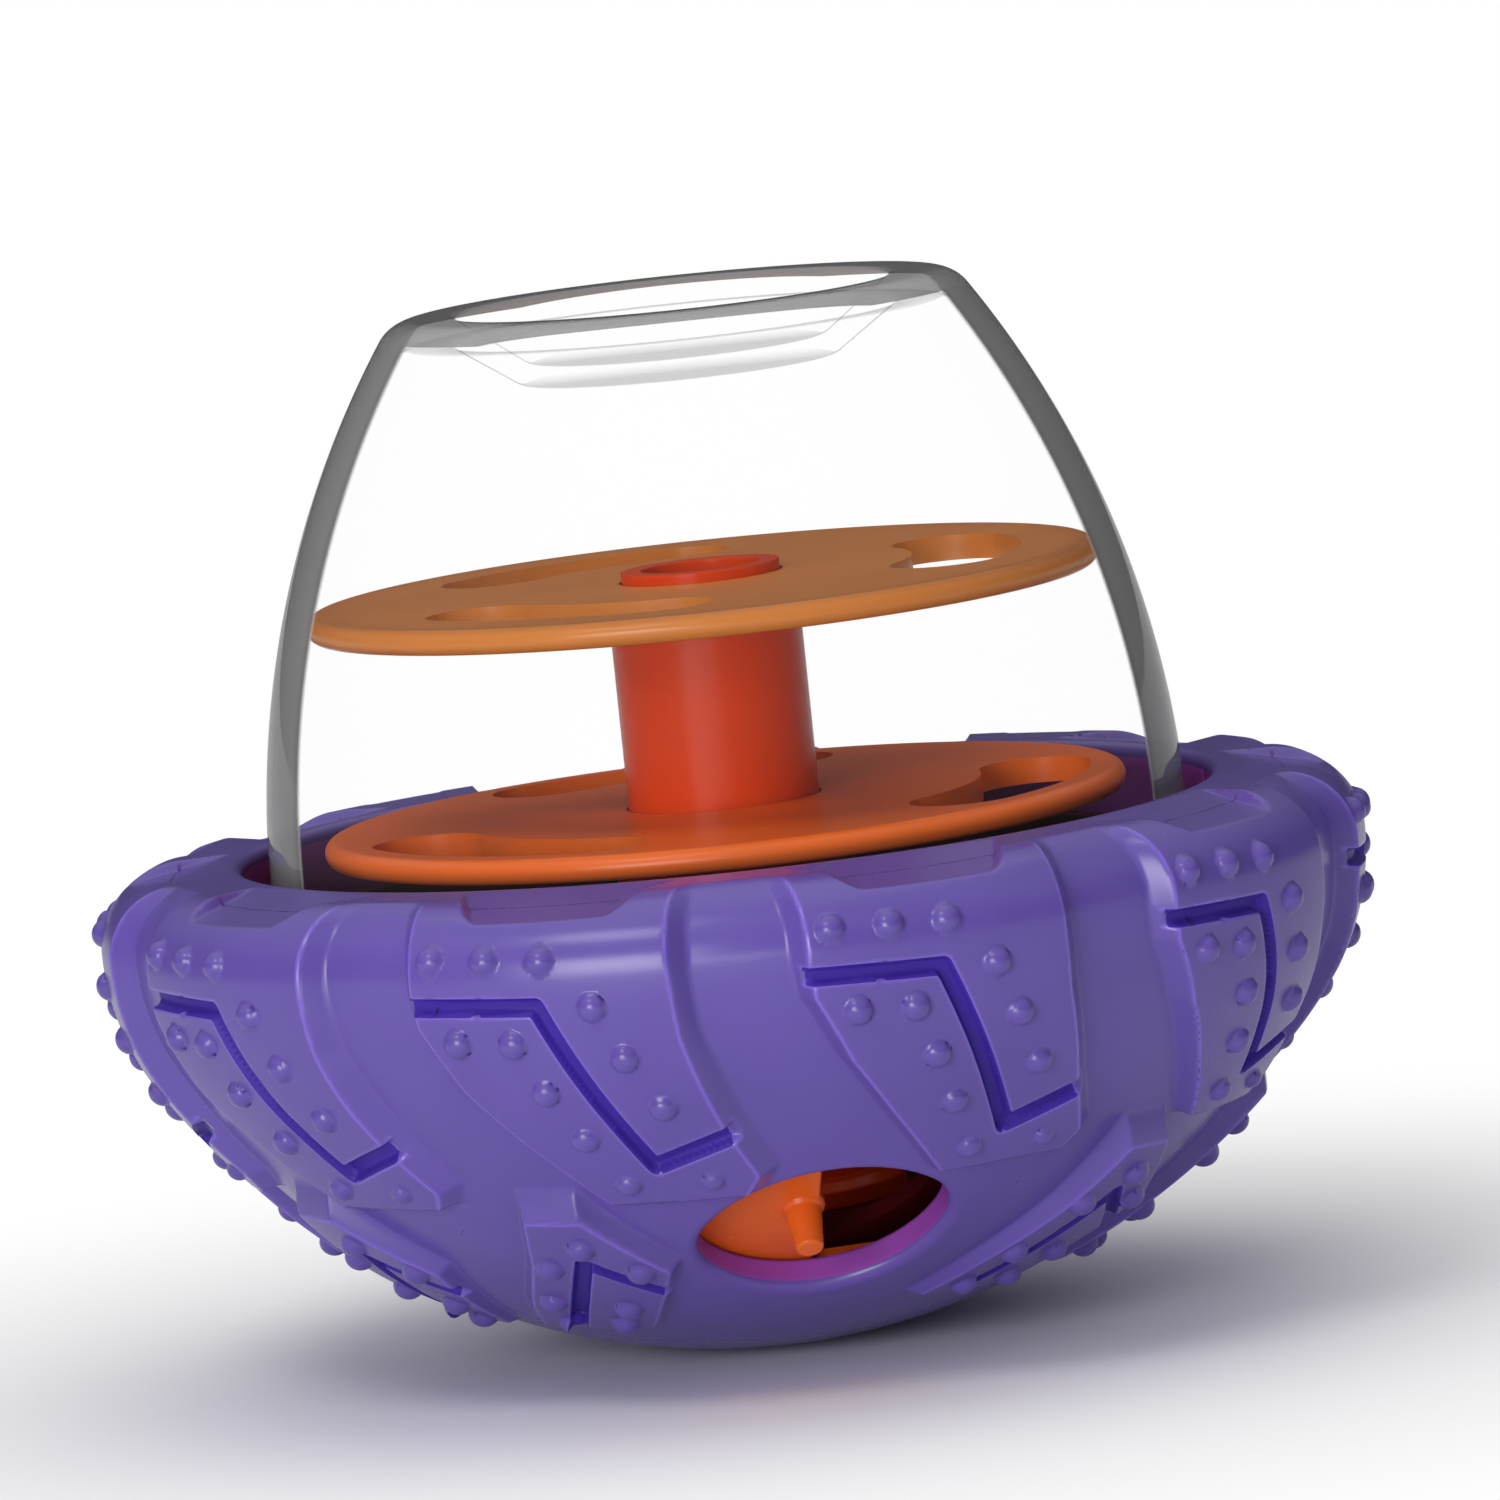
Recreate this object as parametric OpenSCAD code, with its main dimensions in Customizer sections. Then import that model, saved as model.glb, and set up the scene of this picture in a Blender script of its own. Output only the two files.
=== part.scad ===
// Tumbling puzzle feeder: a weighted treaded bowl, a clear dome, two slotted trays on a post and a
// turning gate behind two outlets. Millimetres. The origin is the centre of the flat foot, +Z is up,
// and azimuth 0 is the front, along -Y, growing towards +X.

/* [Bowl] */
// Radius of the bowl over the tread blocks, at its widest
belly_r = 75; // [70:0.5:85]
// Height of the widest place
belly_z = 54; // [50:0.5:58]
// Height of the rim
rim_z = 62.5; // [60:0.5:66]
// Radius of the opening in the rim
opening_r = 57.5; // [56.5:0.5:60]
// Sphere radius of the bowl's underside, in the channels
bowl_sphere_r = 78; // [76:0.5:82]
// Depth cut off the sphere to make the flat foot
foot_drop = 0.3; // [0.2:0.05:0.8]
// Wall of the bowl
bowl_wall = 4; // [3:0.5:5]
// Wall of the lip that hangs inside the rim
lip_wall = 3; // [2:0.5:4]

/* [Tread] */
// Blocks in the upper row
block_count = 10; // [8:1:10]
// Azimuth of the first upper block
block_azimuth = 18; // [0:1:36]
// Height of the upper blocks over the channels at the widest place
block_rise = 2.8; // [2:0.2:3.6]
// Sphere radius of the upper blocks' faces
block_sphere_r = 84; // [82:0.5:86]
// Sphere radius of the lower blocks' faces
low_block_sphere_r = 88; // [86:0.5:90]
// Slope angle at which the lower row lies
low_theta = 38; // [36:1:40]
// Width of the grooves in the blocks
groove_w = 2.2; // [1.6:0.2:3]
// Depth of the grooves
groove_d = 1.5; // [1:0.1:2]
// Radius of a nub where it leaves its block
nub_r = 1.8; // [1.4:0.1:2.2]
// Height of a nub
nub_h = 1.3; // [0.9:0.1:1.6]
// Depth of the pocket in each block's top
pocket_d = 1.5; // [0.8:0.1:2]

/* [Outlets and gate] */
// Azimuth of the front outlet; the other is opposite
outlet_azimuth = 7.5; // [0:0.5:15]
// Slope angle at which the outlets lie
outlet_theta = 40.5; // [39:0.5:42]
// Length of an outlet
outlet_w = 29; // [26:0.5:31]
// Height of an outlet, along the slope
outlet_h = 23.5; // [20:0.5:24]
// Turn of an outlet's long axis
outlet_turn = 9; // [0:1:12]
// Margin of the hopper's window inside the outlet
window_margin = 0.8; // [0.4:0.2:1.6]
// Thickness of the gate
gate_t = 1.8; // [1.4:0.1:2]
// Azimuth that one shutter covers
shutter_span = 36; // [34:1:40]
// Radius of the gate's pegs
peg_r = 1.8; // [1.4:0.1:2.2]
// Length of a peg outside the gate
peg_len = 5.6; // [4:0.2:7]

/* [Hopper] */
// Wall of the hopper
hopper_wall = 2; // [1.6:0.2:2.4]
// Height of the hopper floor's top
floor_z = 16.5; // [16:0.5:17]
// Height of the deck that carries the dome
deck_z = 48; // [46:0.5:50]
// Inner radius of the deck
deck_inner_r = 50.5; // [49:0.5:51]
// Height of the collar round the dome's foot
collar_h = 6; // [4:0.5:8]
// Wall of the collar
collar_wall = 2.4; // [2:0.2:2.6]

/* [Weight] */
// Radius of the steel weight
weight_r = 24; // [20:0.5:24]
// Thickness of the steel weight
weight_t = 3.6; // [2:0.1:4]
// Thickness of the cover under the weight
cover_t = 1.6; // [1.2:0.1:2]
// Radius of the circle that the cover's screws stand on
screw_pitch_r = 17.5; // [14:0.5:18]

/* [Post and trays] */
// Radius of the post between the trays
post_r = 11.3; // [10:0.1:12]
// Radius of the post below the lower tray
post_foot_r = 13.5; // [13:0.1:15]
// Radius of the post's bore
post_bore_r = 7; // [6:0.5:7.5]
// Radius of the post's neck through the upper tray
neck_r = 9.4; // [8.8:0.1:9.6]
// Thickness of a tray
tray_t = 3; // [2.4:0.2:3.4]
// Radius of the lower tray
low_tray_r = 47.5; // [44:0.5:49]
// Height of the lower tray's underside
low_tray_z = 61.3; // [60:0.1:64]
// Outer radius of the lower tray's slots
low_slot_r = 43.5; // [40:0.5:44]
// Azimuth of the first slot in the lower tray
low_slot_azimuth = -48; // [-60:1:-30]
// Radius of the upper tray
top_tray_r = 46.9; // [44:0.1:47.2]
// Height of the upper tray's underside
top_tray_z = 88; // [84:0.5:89]
// Outer radius of the upper tray's slots
top_slot_r = 38; // [36:0.5:42]
// Azimuth of the first slot in the upper tray
top_slot_azimuth = 88; // [60:1:120]
// Width of the slots
slot_w = 13; // [10:0.5:14]
// Azimuth between a slot's end centres
slot_span = 46; // [30:1:60]
// Slots in each tray
slot_count = 3; // [2:1:4]

/* [Dome] */
// Outer radius of the dome at its widest
dome_r = 54.3; // [53:0.1:54.4]
// Height at which the dome is widest
dome_wide_z = 58; // [56:0.5:60]
// Radius of the arc of the dome's side
dome_side_r = 115.5; // [105:0.5:130]
// Height of the dome's top
dome_top_z = 124.4; // [118:0.2:130]
// Wall of the dome
dome_wall = 2.4; // [2:0.1:2.8]
// Thickness of the dome's top ring
dome_ring_t = 3.4; // [2.8:0.1:4]
// Radius of the dome's upper edge
dome_edge_r = 5; // [4:0.5:7]
// Depth of the dish in the dome's top
dish_depth = 6.4; // [4:0.2:7]
// Radius of the dish's floor
dish_floor_r = 17.5; // [15:0.5:20]
// Radius of the dish's mouth
dish_mouth_r = 26; // [24:0.5:28]
// Height of the seal under the dome
seal_h = 1.5; // [1:0.1:2]

/* [Hidden] */
$fn = 96;
// Clearances
turn_gap = 0.4;
seat_gap = 0.3;
slip_gap = 0.3;
eps = 0.01;
far = 200;
arc_lap = 0.02;
// Bowl
channel_belly_r = belly_r - block_rise;
sphere_z = bowl_sphere_r - foot_drop;
shoulder_r = rim_z - belly_z;
channel_shoulder_r = shoulder_r + 0.5;
inner_sphere_r = bowl_sphere_r - bowl_wall;
block_pitch = 360 / block_count;
low_shift = outlet_azimuth + 0.5;
// Gate and hopper, as sphere radii about the bowl's sphere centre
gate_outer_r = inner_sphere_r - turn_gap;
gate_inner_r = gate_outer_r - gate_t;
hopper_outer_r = gate_inner_r - turn_gap;
hopper_inner_r = hopper_outer_r - hopper_wall;
rail_outer_r = inner_sphere_r - seat_gap;
gate_low_theta = 27.5;
gate_high_theta = 53;
hoop_theta = 3;
rail_theta = 1;
rail_gap_theta = 0.3;
peg_azimuth = outlet_azimuth - 2.4;
peg_theta = outlet_theta;
hopper_neck_r = opening_r + lip_wall - slip_gap;
skirt_z = 13.2;
floor_t = 2;
deck_t = 2;
collar_outer_r = opening_r - slip_gap;
collar_inner_r = collar_outer_r - collar_wall;
lip_z = deck_z + seat_gap;
// Weight and its screws
weight_top_z = floor_z - floor_t - 0.1;
weight_z = weight_top_z - weight_t;
cover_top_z = weight_z - 0.1;
cover_z = cover_top_z - cover_t;
cover_r = sqrt(pow(inner_sphere_r, 2) - pow(sphere_z - cover_z + seat_gap, 2));
boss_r = 3;
boss_gap = 0.4;
screw_r = 1.4;
screw_hole_r = 1.7;
screw_head_r = 2.8;
screw_head_h = 1.5;
screw_len = 5;
thread_gap = 0.05;
// Post
post_flange_r = 17;
post_flange_t = 3;
post_screw_r = 2;
post_screw_head_r = 3.8;
post_screw_head_h = 2.4;
post_screw_len = 12;
post_base_t = 14;
neck_top = 1.2;
// Dome
foot_z = deck_z + seal_h + 0.1;
dome_centre_x = dome_r - dome_side_r;
dish_z = dome_top_z - dish_depth;
seal_overlap = 0.3;

// Centre and radius of the arc that joins a sphere of radius R to a belly of radius a
function sphere_centre(R) = R - foot_drop;
function belly_arc_r(R, a) =
    (pow(R, 2) - pow(a, 2) - pow(sphere_centre(R) - belly_z, 2)) / (2 * (R - a));
function join_theta(R, a) =
    asin((a - belly_arc_r(R, a)) / (R - belly_arc_r(R, a)));
function join_z(R, a) = sphere_centre(R) - R * cos(join_theta(R, a));
// Radius of that surface at height z, and the tilt of its normal from straight down
function surface_r(z, R, a, s) =
    z < join_z(R, a) ? sqrt(pow(R, 2) - pow(sphere_centre(R) - z, 2)) :
    z < belly_z ? a - belly_arc_r(R, a) + sqrt(pow(belly_arc_r(R, a), 2) - pow(belly_z - z, 2)) :
    a - s + sqrt(pow(s, 2) - pow(min(z - belly_z, s - eps), 2));
function surface_tilt(z, R, a, s) =
    z < join_z(R, a) ? acos((sphere_centre(R) - z) / R) :
    z < belly_z ? 90 - asin((belly_z - z) / belly_arc_r(R, a)) :
    90 + asin(min(z - belly_z, s) / s);
function block_face_r(z) = surface_r(z, block_sphere_r, belly_r, shoulder_r);
function block_tilt(z) = surface_tilt(z, block_sphere_r, belly_r, shoulder_r);
function channel_r(z) = surface_r(z, bowl_sphere_r, channel_belly_r, channel_shoulder_r);

// Half section inside an outline of three arcs that run into each other: the underside, the belly and
// the shoulder. Each arc laps a little over the one below. inset moves the outline inwards.
module bowl_section(R, a, s, inset, top) {
    belly = belly_arc_r(R, a);
    joint_z = sphere_centre(R) - (R - inset) * cos(join_theta(R, a));
    intersection() {
        translate([0, sphere_centre(R)]) circle(R - inset);
        square([far, joint_z]);
    }
    intersection() {
        translate([a - belly, belly_z]) circle(belly - inset + arc_lap);
        square([far, belly_z]);
    }
    intersection() {
        translate([a - s, belly_z]) circle(s - inset + 2 * arc_lap);
        square([far, top]);
    }
    translate([0, joint_z - 1]) square([a - belly, belly_z - joint_z + 1]);
    translate([0, joint_z - 1]) square([a - s, top - joint_z + 1]);
}

// Places a child whose z is the distance from the sphere centre, at an azimuth and a slope angle
module on_slope(azimuth, theta) {
    translate([0, 0, sphere_z]) rotate([0, 0, azimuth]) rotate([180 - theta, 0, 0]) children();
}

// Oval of four tangent arcs
module oval(w, h) {
    end_r = 0.36 * h;
    a = w / 2 - end_r;
    b = h / 2 - end_r;
    c = (a * a - b * b) / (2 * b);
    side_r = c + h / 2;
    meet_x = a * side_r / (side_r - end_r);
    intersection() {
        translate([0, -c]) circle(side_r);
        translate([0, c]) circle(side_r);
        translate([-meet_x, -h]) square([2 * meet_x, 2 * h]);
    }
    for (side = [-1, 1]) translate([side * a, 0]) circle(end_r);
}

// Hopper window of four arcs that meet at corners
module window_outline(w, h) {
    flank_r = 0.62 * w;
    end_r = 0.62 * h;
    intersection() {
        translate([0, h / 2 - flank_r]) circle(flank_r);
        translate([0, flank_r - h / 2]) circle(flank_r);
        translate([w / 2 - end_r, 0]) circle(end_r);
        translate([end_r - w / 2, 0]) circle(end_r);
    }
}

// Solid between two like outlines of 3D points, run on past both, with a point at each end.
// Points go anticlockwise seen from outside.
module loft(base, face, under, over, inner_point, outer_point) {
    n = len(base);
    low = [for (i = [0:n - 1]) base[i] - under * (face[i] - base[i])];
    high = [for (i = [0:n - 1]) face[i] + over * (face[i] - base[i])];
    polyhedron(
        points = concat(low, high, [inner_point, outer_point]),
        faces = [for (i = [0:n - 1]) let (j = (i + 1) % n) each [
            [i, j, 2 * n],
            [j, i, n + i],
            [j, n + i, n + j],
            [n + j, n + i, 2 * n + 1]
        ]]
    );
}

// Upper block: its face's corners as x across and z up, and how far each side's wall runs out
block_face = [
    [-15.1, 58], [-15.1, 49], [-10.8, 41], [-5.6, 34.4], [3.2, 23.9], [13.2, 21.8],
    [19.1, 28], [17.5, 34.4], [15.5, 46], [15, 58]
];
block_wall_out = [
    [-1.8, 0], [-1.8, 0], [-1.8, -1.2], [-1.8, -1.3], [-1.4, -2], [1, -2.2],
    [2.6, -0.4], [2.6, -0.2], [2.4, -0.2], [2, 0]
];
// Where the block runs over the rim: half its width there, and how far in and up it is carried
block_top_x = 13.6;
block_top_y = rim_z;
block_top_z = rim_z + 4;
// Middle line of the groove
block_groove = [[-19, 51.7], [-0.3, 51], [8.5, 30.6], [22, 34.9]];
// Nubs, as azimuth from the block's middle and height
block_nubs = [
    [-9.9, 56.9], [-4.7, 56.6], [0.5, 56.3],
    [4.8, 50.5], [7, 44.2], [9.6, 37.9],
    [-8.1, 47.1], [-2.9, 46.7], [-0.9, 40.7], [1.4, 34.6], [4.1, 28], [12.9, 27.4]
];
// Pocket in the block's top: half its width outside and inside, and its radii
pocket_outer_x = 8;
pocket_inner_x = 12;
pocket_outer_r = 66;
pocket_inner_r = 58.5;

// Lower block, on the slope: x across and y up the slope
low_face = [
    [-11.3, -14.5], [3.1, -14.5], [9.4, -5], [13, 1], [7.7, 13.9], [0.9, 14.7], [-2.5, 5.3], [-8.3, -6]
];
low_wall_out = [
    [-1.2, -0.4], [0.8, -0.8], [1, -1], [0.9, -0.6], [-0.6, 3.2], [-1.9, 2.8], [-1.4, 0.6], [-1.3, 0.4]
];
low_groove = [[-9.6, -19.5], [4.3, 5.6], [14, -8.7]];
low_nubs = [[5.4, 8.9], [-0.6, 4.8], [9.9, 2.2], [-4.8, -4.4], [3.8, -7], [-6.4, -12.2], [0.6, -12.2]];
low_groove_d = 1.2;

nub_sphere_r = (pow(nub_r, 2) + pow(nub_h, 2)) / (2 * nub_h);
nub_sink = nub_sphere_r - nub_h;

// Height of the lower blocks' face over a place on the slope, from the bowl's sphere centre
function low_face_n(x, y) = let (d = sphere_centre(low_block_sphere_r) - sphere_z)
    -d * cos(low_theta) + sqrt(pow(low_block_sphere_r, 2) - pow(x, 2) - pow(y - d * sin(low_theta), 2));
// Points of a strip of width w along a path, with mitred corners
function unit(v) = v / norm(v);
function side_of(v) = [-v[1], v[0]];
function mitre(path, i, w) = let (
        a = unit(path[max(i, 1)] - path[max(i, 1) - 1]),
        b = unit(path[min(i + 1, len(path) - 1)] - path[min(i, len(path) - 2)]),
        m = unit(side_of(a) + side_of(b))
    ) m * (w / 2) / (m * side_of(a));
function strip(path, w) = concat(
    [for (i = [0:len(path) - 1]) path[i] + mitre(path, i, w)],
    [for (i = [len(path) - 1:-1:0]) path[i] - mitre(path, i, w)]
);

module upper_block() {
    face = concat(
        [for (p = block_face) [p[0], -sqrt(pow(block_face_r(p[1]), 2) - pow(p[0], 2)), p[1]]],
        [[block_top_x, -block_top_y, block_top_z], [-block_top_x, -block_top_y, block_top_z]]
    );
    base = concat(
        [for (i = [0:len(block_face) - 1])
            let (x = block_face[i][0] + block_wall_out[i][0], z = block_face[i][1] + block_wall_out[i][1])
            [x, -sqrt(pow(channel_r(z), 2) - pow(x, 2)), z]],
        [[block_top_x + 1, -block_top_y, block_top_z], [-block_top_x - 1, -block_top_y, block_top_z]]
    );
    loft(base, face, 0.8, 1.2, [0, -45, 45], [0, -95, 58]);
}

module lower_block() {
    face = [for (p = low_face) [p[0], p[1], low_face_n(p[0], p[1])]];
    base = [for (i = [0:len(low_face) - 1])
        let (p = low_face[i] + low_wall_out[i])
        [p[0], p[1], sqrt(pow(bowl_sphere_r, 2) - pow(p[0], 2) - pow(p[1], 2))]];
    loft(base, face, 0.8, 1.5, [2, 0, bowl_sphere_r - 14], [2, 0, bowl_sphere_r + 30]);
}

// Azimuths of the lower blocks: every pitch but the two outlets
low_azimuths = [for (k = [0:block_count - 1]) if (k % (block_count / 2) != 0) low_shift + k * block_pitch];

module upper_blocks() {
    intersection() {
        rotate_extrude() bowl_section(block_sphere_r, belly_r, shoulder_r, 0, rim_z);
        for (k = [0:block_count - 1]) rotate([0, 0, block_azimuth + k * block_pitch]) upper_block();
    }
}

module lower_blocks() {
    intersection() {
        translate([0, 0, sphere_centre(low_block_sphere_r)]) sphere(low_block_sphere_r);
        for (azimuth = low_azimuths) on_slope(azimuth, low_theta) lower_block();
    }
}

module upper_grooves() {
    difference() {
        for (k = [0:block_count - 1]) rotate([0, 0, block_azimuth + k * block_pitch])
            translate([0, -belly_r / 2, 0]) rotate([90, 0, 0])
                linear_extrude(belly_r / 2 + 4) polygon(strip(block_groove, groove_w));
        rotate_extrude() bowl_section(block_sphere_r, belly_r, shoulder_r, groove_d, rim_z - groove_d);
    }
}

module lower_grooves() {
    difference() {
        for (azimuth = low_azimuths) on_slope(azimuth, low_theta)
            translate([0, 0, bowl_sphere_r - 8]) linear_extrude(18) polygon(strip(low_groove, groove_w));
        translate([0, 0, sphere_centre(low_block_sphere_r)]) sphere(low_block_sphere_r - low_groove_d);
    }
}

module nubs() {
    for (k = [0:block_count - 1], p = block_nubs) {
        r = block_face_r(p[1]);
        tilt = block_tilt(p[1]);
        rotate([0, 0, block_azimuth + k * block_pitch + p[0]])
            translate([0, nub_sink * sin(tilt) - r, p[1] + nub_sink * cos(tilt)]) sphere(nub_sphere_r, $fn = 24);
    }
    for (azimuth = low_azimuths, p = low_nubs) on_slope(azimuth, low_theta)
        translate([p[0], p[1], low_face_n(p[0], p[1]) - nub_sink]) sphere(nub_sphere_r, $fn = 24);
}

// Pockets with a floor that rises to the rim's inner edge
module pockets() {
    run = pocket_outer_r - pocket_inner_r;
    for (k = [0:block_count - 1]) rotate([0, 0, block_azimuth + k * block_pitch])
        translate([0, -pocket_inner_r, rim_z]) rotate([atan(pocket_d / run), 0, 0])
            linear_extrude(5) polygon([
                [-pocket_inner_x, 0], [-pocket_outer_x, -run], [pocket_outer_x, -run], [pocket_inner_x, 0]
            ]);
}

// Prisms at both outlets' places, over a child outline
module at_outlets(inner, outer) {
    for (turn = [0, 180]) on_slope(outlet_azimuth + turn, outlet_theta)
        translate([0, 0, inner]) linear_extrude(outer - inner) rotate(outlet_turn) children();
}

// Half section of the hollow inside the bowl: the inner sphere, a straight belly and a round shoulder
module cavity_section() {
    belly = channel_belly_r - bowl_wall;
    shoulder = channel_shoulder_r - bowl_wall;
    intersection() {
        translate([0, sphere_z]) circle(inner_sphere_r);
        square([belly, belly_z]);
    }
    intersection() {
        union() {
            translate([belly - shoulder, belly_z]) circle(shoulder);
            square([belly - shoulder, far]);
        }
        translate([0, belly_z]) square([far, rim_z - bowl_wall - belly_z]);
    }
}

module tread_shell() {
    color("#6B52A8") difference() {
        union() {
            rotate_extrude() bowl_section(bowl_sphere_r, channel_belly_r, channel_shoulder_r, 0, rim_z);
            upper_blocks();
            lower_blocks();
            nubs();
        }
        upper_grooves();
        lower_grooves();
        pockets();
        at_outlets(inner_sphere_r - 4, bowl_sphere_r + 12) oval(outlet_w, outlet_h);
        rotate_extrude() {
            difference() {
                cavity_section();
                translate([opening_r, lip_z]) square([lip_wall, far]);
            }
            translate([0, lip_z]) square([opening_r, far]);
        }
    }
}

// Half section of a zone about the bowl's sphere centre, between two slope angles
module zone(inner, outer, theta_a, theta_b) {
    intersection() {
        translate([0, sphere_z]) difference() {
            circle(outer);
            circle(inner);
        }
        translate([0, sphere_z]) polygon([
            [0, 0],
            far * [sin(theta_a), -cos(theta_a)],
            far * [sin(theta_b), -cos(theta_b)]
        ]);
    }
}

module at_screws() {
    for (k = [0:2]) rotate([0, 0, 120 * k]) translate([0, screw_pitch_r, 0]) children();
}

module hopper_bowl() {
    color("#B8320F") difference() {
        union() {
            rotate_extrude() {
                intersection() {
                    difference() {
                        intersection() {
                            translate([0, sphere_z]) circle(hopper_outer_r);
                            square([hopper_neck_r, far]);
                        }
                        intersection() {
                            translate([0, sphere_z]) circle(hopper_inner_r);
                            square([hopper_neck_r - hopper_wall, far]);
                        }
                    }
                    translate([0, skirt_z]) square([far, deck_z - skirt_z]);
                }
                intersection() {
                    translate([0, sphere_z]) circle(hopper_outer_r - hopper_wall / 2);
                    translate([0, floor_z - floor_t]) square([far, floor_t]);
                }
                translate([deck_inner_r, deck_z - deck_t])
                    square([hopper_neck_r - deck_inner_r, deck_t]);
                translate([collar_inner_r, deck_z - deck_t]) square([collar_wall, deck_t + collar_h]);
                zone(hopper_inner_r + hopper_wall / 2, rail_outer_r,
                    gate_low_theta - rail_gap_theta - rail_theta, gate_low_theta - rail_gap_theta);
                zone(hopper_inner_r + hopper_wall / 2, rail_outer_r,
                    gate_high_theta + rail_gap_theta, gate_high_theta + rail_gap_theta + rail_theta);
            }
            at_screws() translate([0, 0, weight_z]) cylinder(r = boss_r, h = floor_z - floor_t / 2 - weight_z);
        }
        at_screws() translate([0, 0, weight_z - 1]) cylinder(r = screw_r + thread_gap, h = screw_len + 1);
        translate([0, 0, floor_z - floor_t - 1])
            cylinder(r = post_screw_r + slip_gap, h = floor_t + 2);
        at_outlets(hopper_inner_r - 6, hopper_outer_r + 6)
            window_outline(outlet_w - 2 * window_margin, outlet_h - 2 * window_margin);
    }
}

module gate_ring() {
    color("#D9642E") {
        rotate_extrude() {
            zone(gate_inner_r, gate_outer_r, gate_low_theta, gate_low_theta + hoop_theta);
            zone(gate_inner_r, gate_outer_r, gate_high_theta - hoop_theta, gate_high_theta);
        }
        for (turn = [0, 180]) {
            intersection() {
                rotate_extrude() zone(gate_inner_r, gate_outer_r, gate_low_theta + hoop_theta / 2,
                    gate_high_theta - hoop_theta / 2);
                rotate([0, 0, turn + outlet_azimuth - 90]) linear_extrude(sphere_z) polygon([
                    [0, 0], [far, 0], far * [cos(shutter_span), -sin(shutter_span)]
                ]);
            }
            on_slope(peg_azimuth + turn, peg_theta)
                translate([0, 0, gate_outer_r - gate_t / 2]) cylinder(r = peg_r, h = peg_len + gate_t / 2);
        }
    }
}

module weight_disc() {
    color("#8C8F94") difference() {
        translate([0, 0, weight_z]) cylinder(r = weight_r, h = weight_t);
        at_screws() translate([0, 0, weight_z - 1]) cylinder(r = boss_r + boss_gap, h = weight_t + 2);
        translate([0, 0, weight_z - 1]) cylinder(r = post_screw_head_r + boss_gap, h = weight_t + 2);
    }
}

module weight_cover() {
    color("#3A3A3E") difference() {
        translate([0, 0, cover_z]) cylinder(r = cover_r, h = cover_t);
        at_screws() translate([0, 0, cover_z - 1]) cylinder(r = screw_hole_r, h = cover_t + 2);
    }
}

module weight_screw(k) {
    color("#B9BCC0") rotate([0, 0, 120 * k]) translate([0, screw_pitch_r, 0]) difference() {
        union() {
            translate([0, 0, cover_z - screw_head_h]) cylinder(r = screw_head_r, h = screw_head_h);
            translate([0, 0, cover_z - eps]) cylinder(r = screw_r, h = screw_len + cover_t / 2);
        }
        for (turn = [0, 90]) rotate([0, 0, turn]) translate([-2, -0.35, cover_z - screw_head_h - 1])
            cube([4, 0.7, 1.8]);
    }
}

module centre_post() {
    color("#D2420F") difference() {
        rotate_extrude() polygon([
            [0, floor_z], [post_flange_r, floor_z], [post_flange_r, floor_z + post_flange_t - 1],
            [post_flange_r - 1, floor_z + post_flange_t], [post_foot_r, floor_z + post_flange_t],
            [post_foot_r, low_tray_z], [post_r, low_tray_z], [post_r, top_tray_z], [neck_r, top_tray_z],
            [neck_r, top_tray_z + tray_t + neck_top], [post_bore_r, top_tray_z + tray_t + neck_top],
            [post_bore_r, floor_z + post_base_t], [0, floor_z + post_base_t]
        ]);
        translate([0, 0, floor_z - 1]) cylinder(r = post_screw_r + thread_gap, h = post_screw_len - 0.5);
    }
}

module post_screw() {
    head_z = floor_z - floor_t - post_screw_head_h;
    color("#B9BCC0") difference() {
        union() {
            translate([0, 0, head_z]) cylinder(r = post_screw_head_r, h = post_screw_head_h);
            translate([0, 0, floor_z - floor_t - eps]) cylinder(r = post_screw_r, h = post_screw_len - 0.5);
        }
        for (turn = [0, 90]) rotate([0, 0, turn]) translate([-2.6, -0.5, head_z - 1]) cube([5.2, 1, 2.4]);
    }
}

// Slot along an arc, with round ends
module kidney(outer_r, width, span) {
    mid_r = outer_r - width / 2;
    intersection() {
        difference() {
            circle(outer_r);
            circle(outer_r - width);
        }
        polygon([[0, 0], far * [sin(span / 2), -cos(span / 2)], [0, -2 * far],
            far * [-sin(span / 2), -cos(span / 2)]]);
    }
    for (side = [-0.5, 0.5]) rotate(side * span) translate([0, -mid_r]) circle(width / 2 + 0.05);
}

module tray(r, z, hole_r, slot_r, slot_azimuth) {
    difference() {
        rotate_extrude() {
            translate([hole_r, z]) square([r - tray_t / 2 - hole_r, tray_t]);
            translate([r - tray_t / 2, z + tray_t / 2]) circle(tray_t / 2);
        }
        for (k = [0:slot_count - 1]) rotate([0, 0, slot_azimuth + k * 360 / slot_count])
            translate([0, 0, z - 1]) linear_extrude(tray_t + 2) kidney(slot_r, slot_w, slot_span);
    }
}

module lower_tray() {
    color("#E8712F") tray(low_tray_r, low_tray_z, post_r + slip_gap, low_slot_r, low_slot_azimuth);
}

module upper_tray() {
    color("#D8702E") tray(top_tray_r, top_tray_z, neck_r + slip_gap, top_slot_r, top_slot_azimuth);
}

module dome_seal() {
    color("#E9E7E2") rotate_extrude() translate([dome_r - dome_wall - 2 * seal_overlap, deck_z])
        square([dome_wall + 2.5 * seal_overlap, seal_h]);
}

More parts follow.
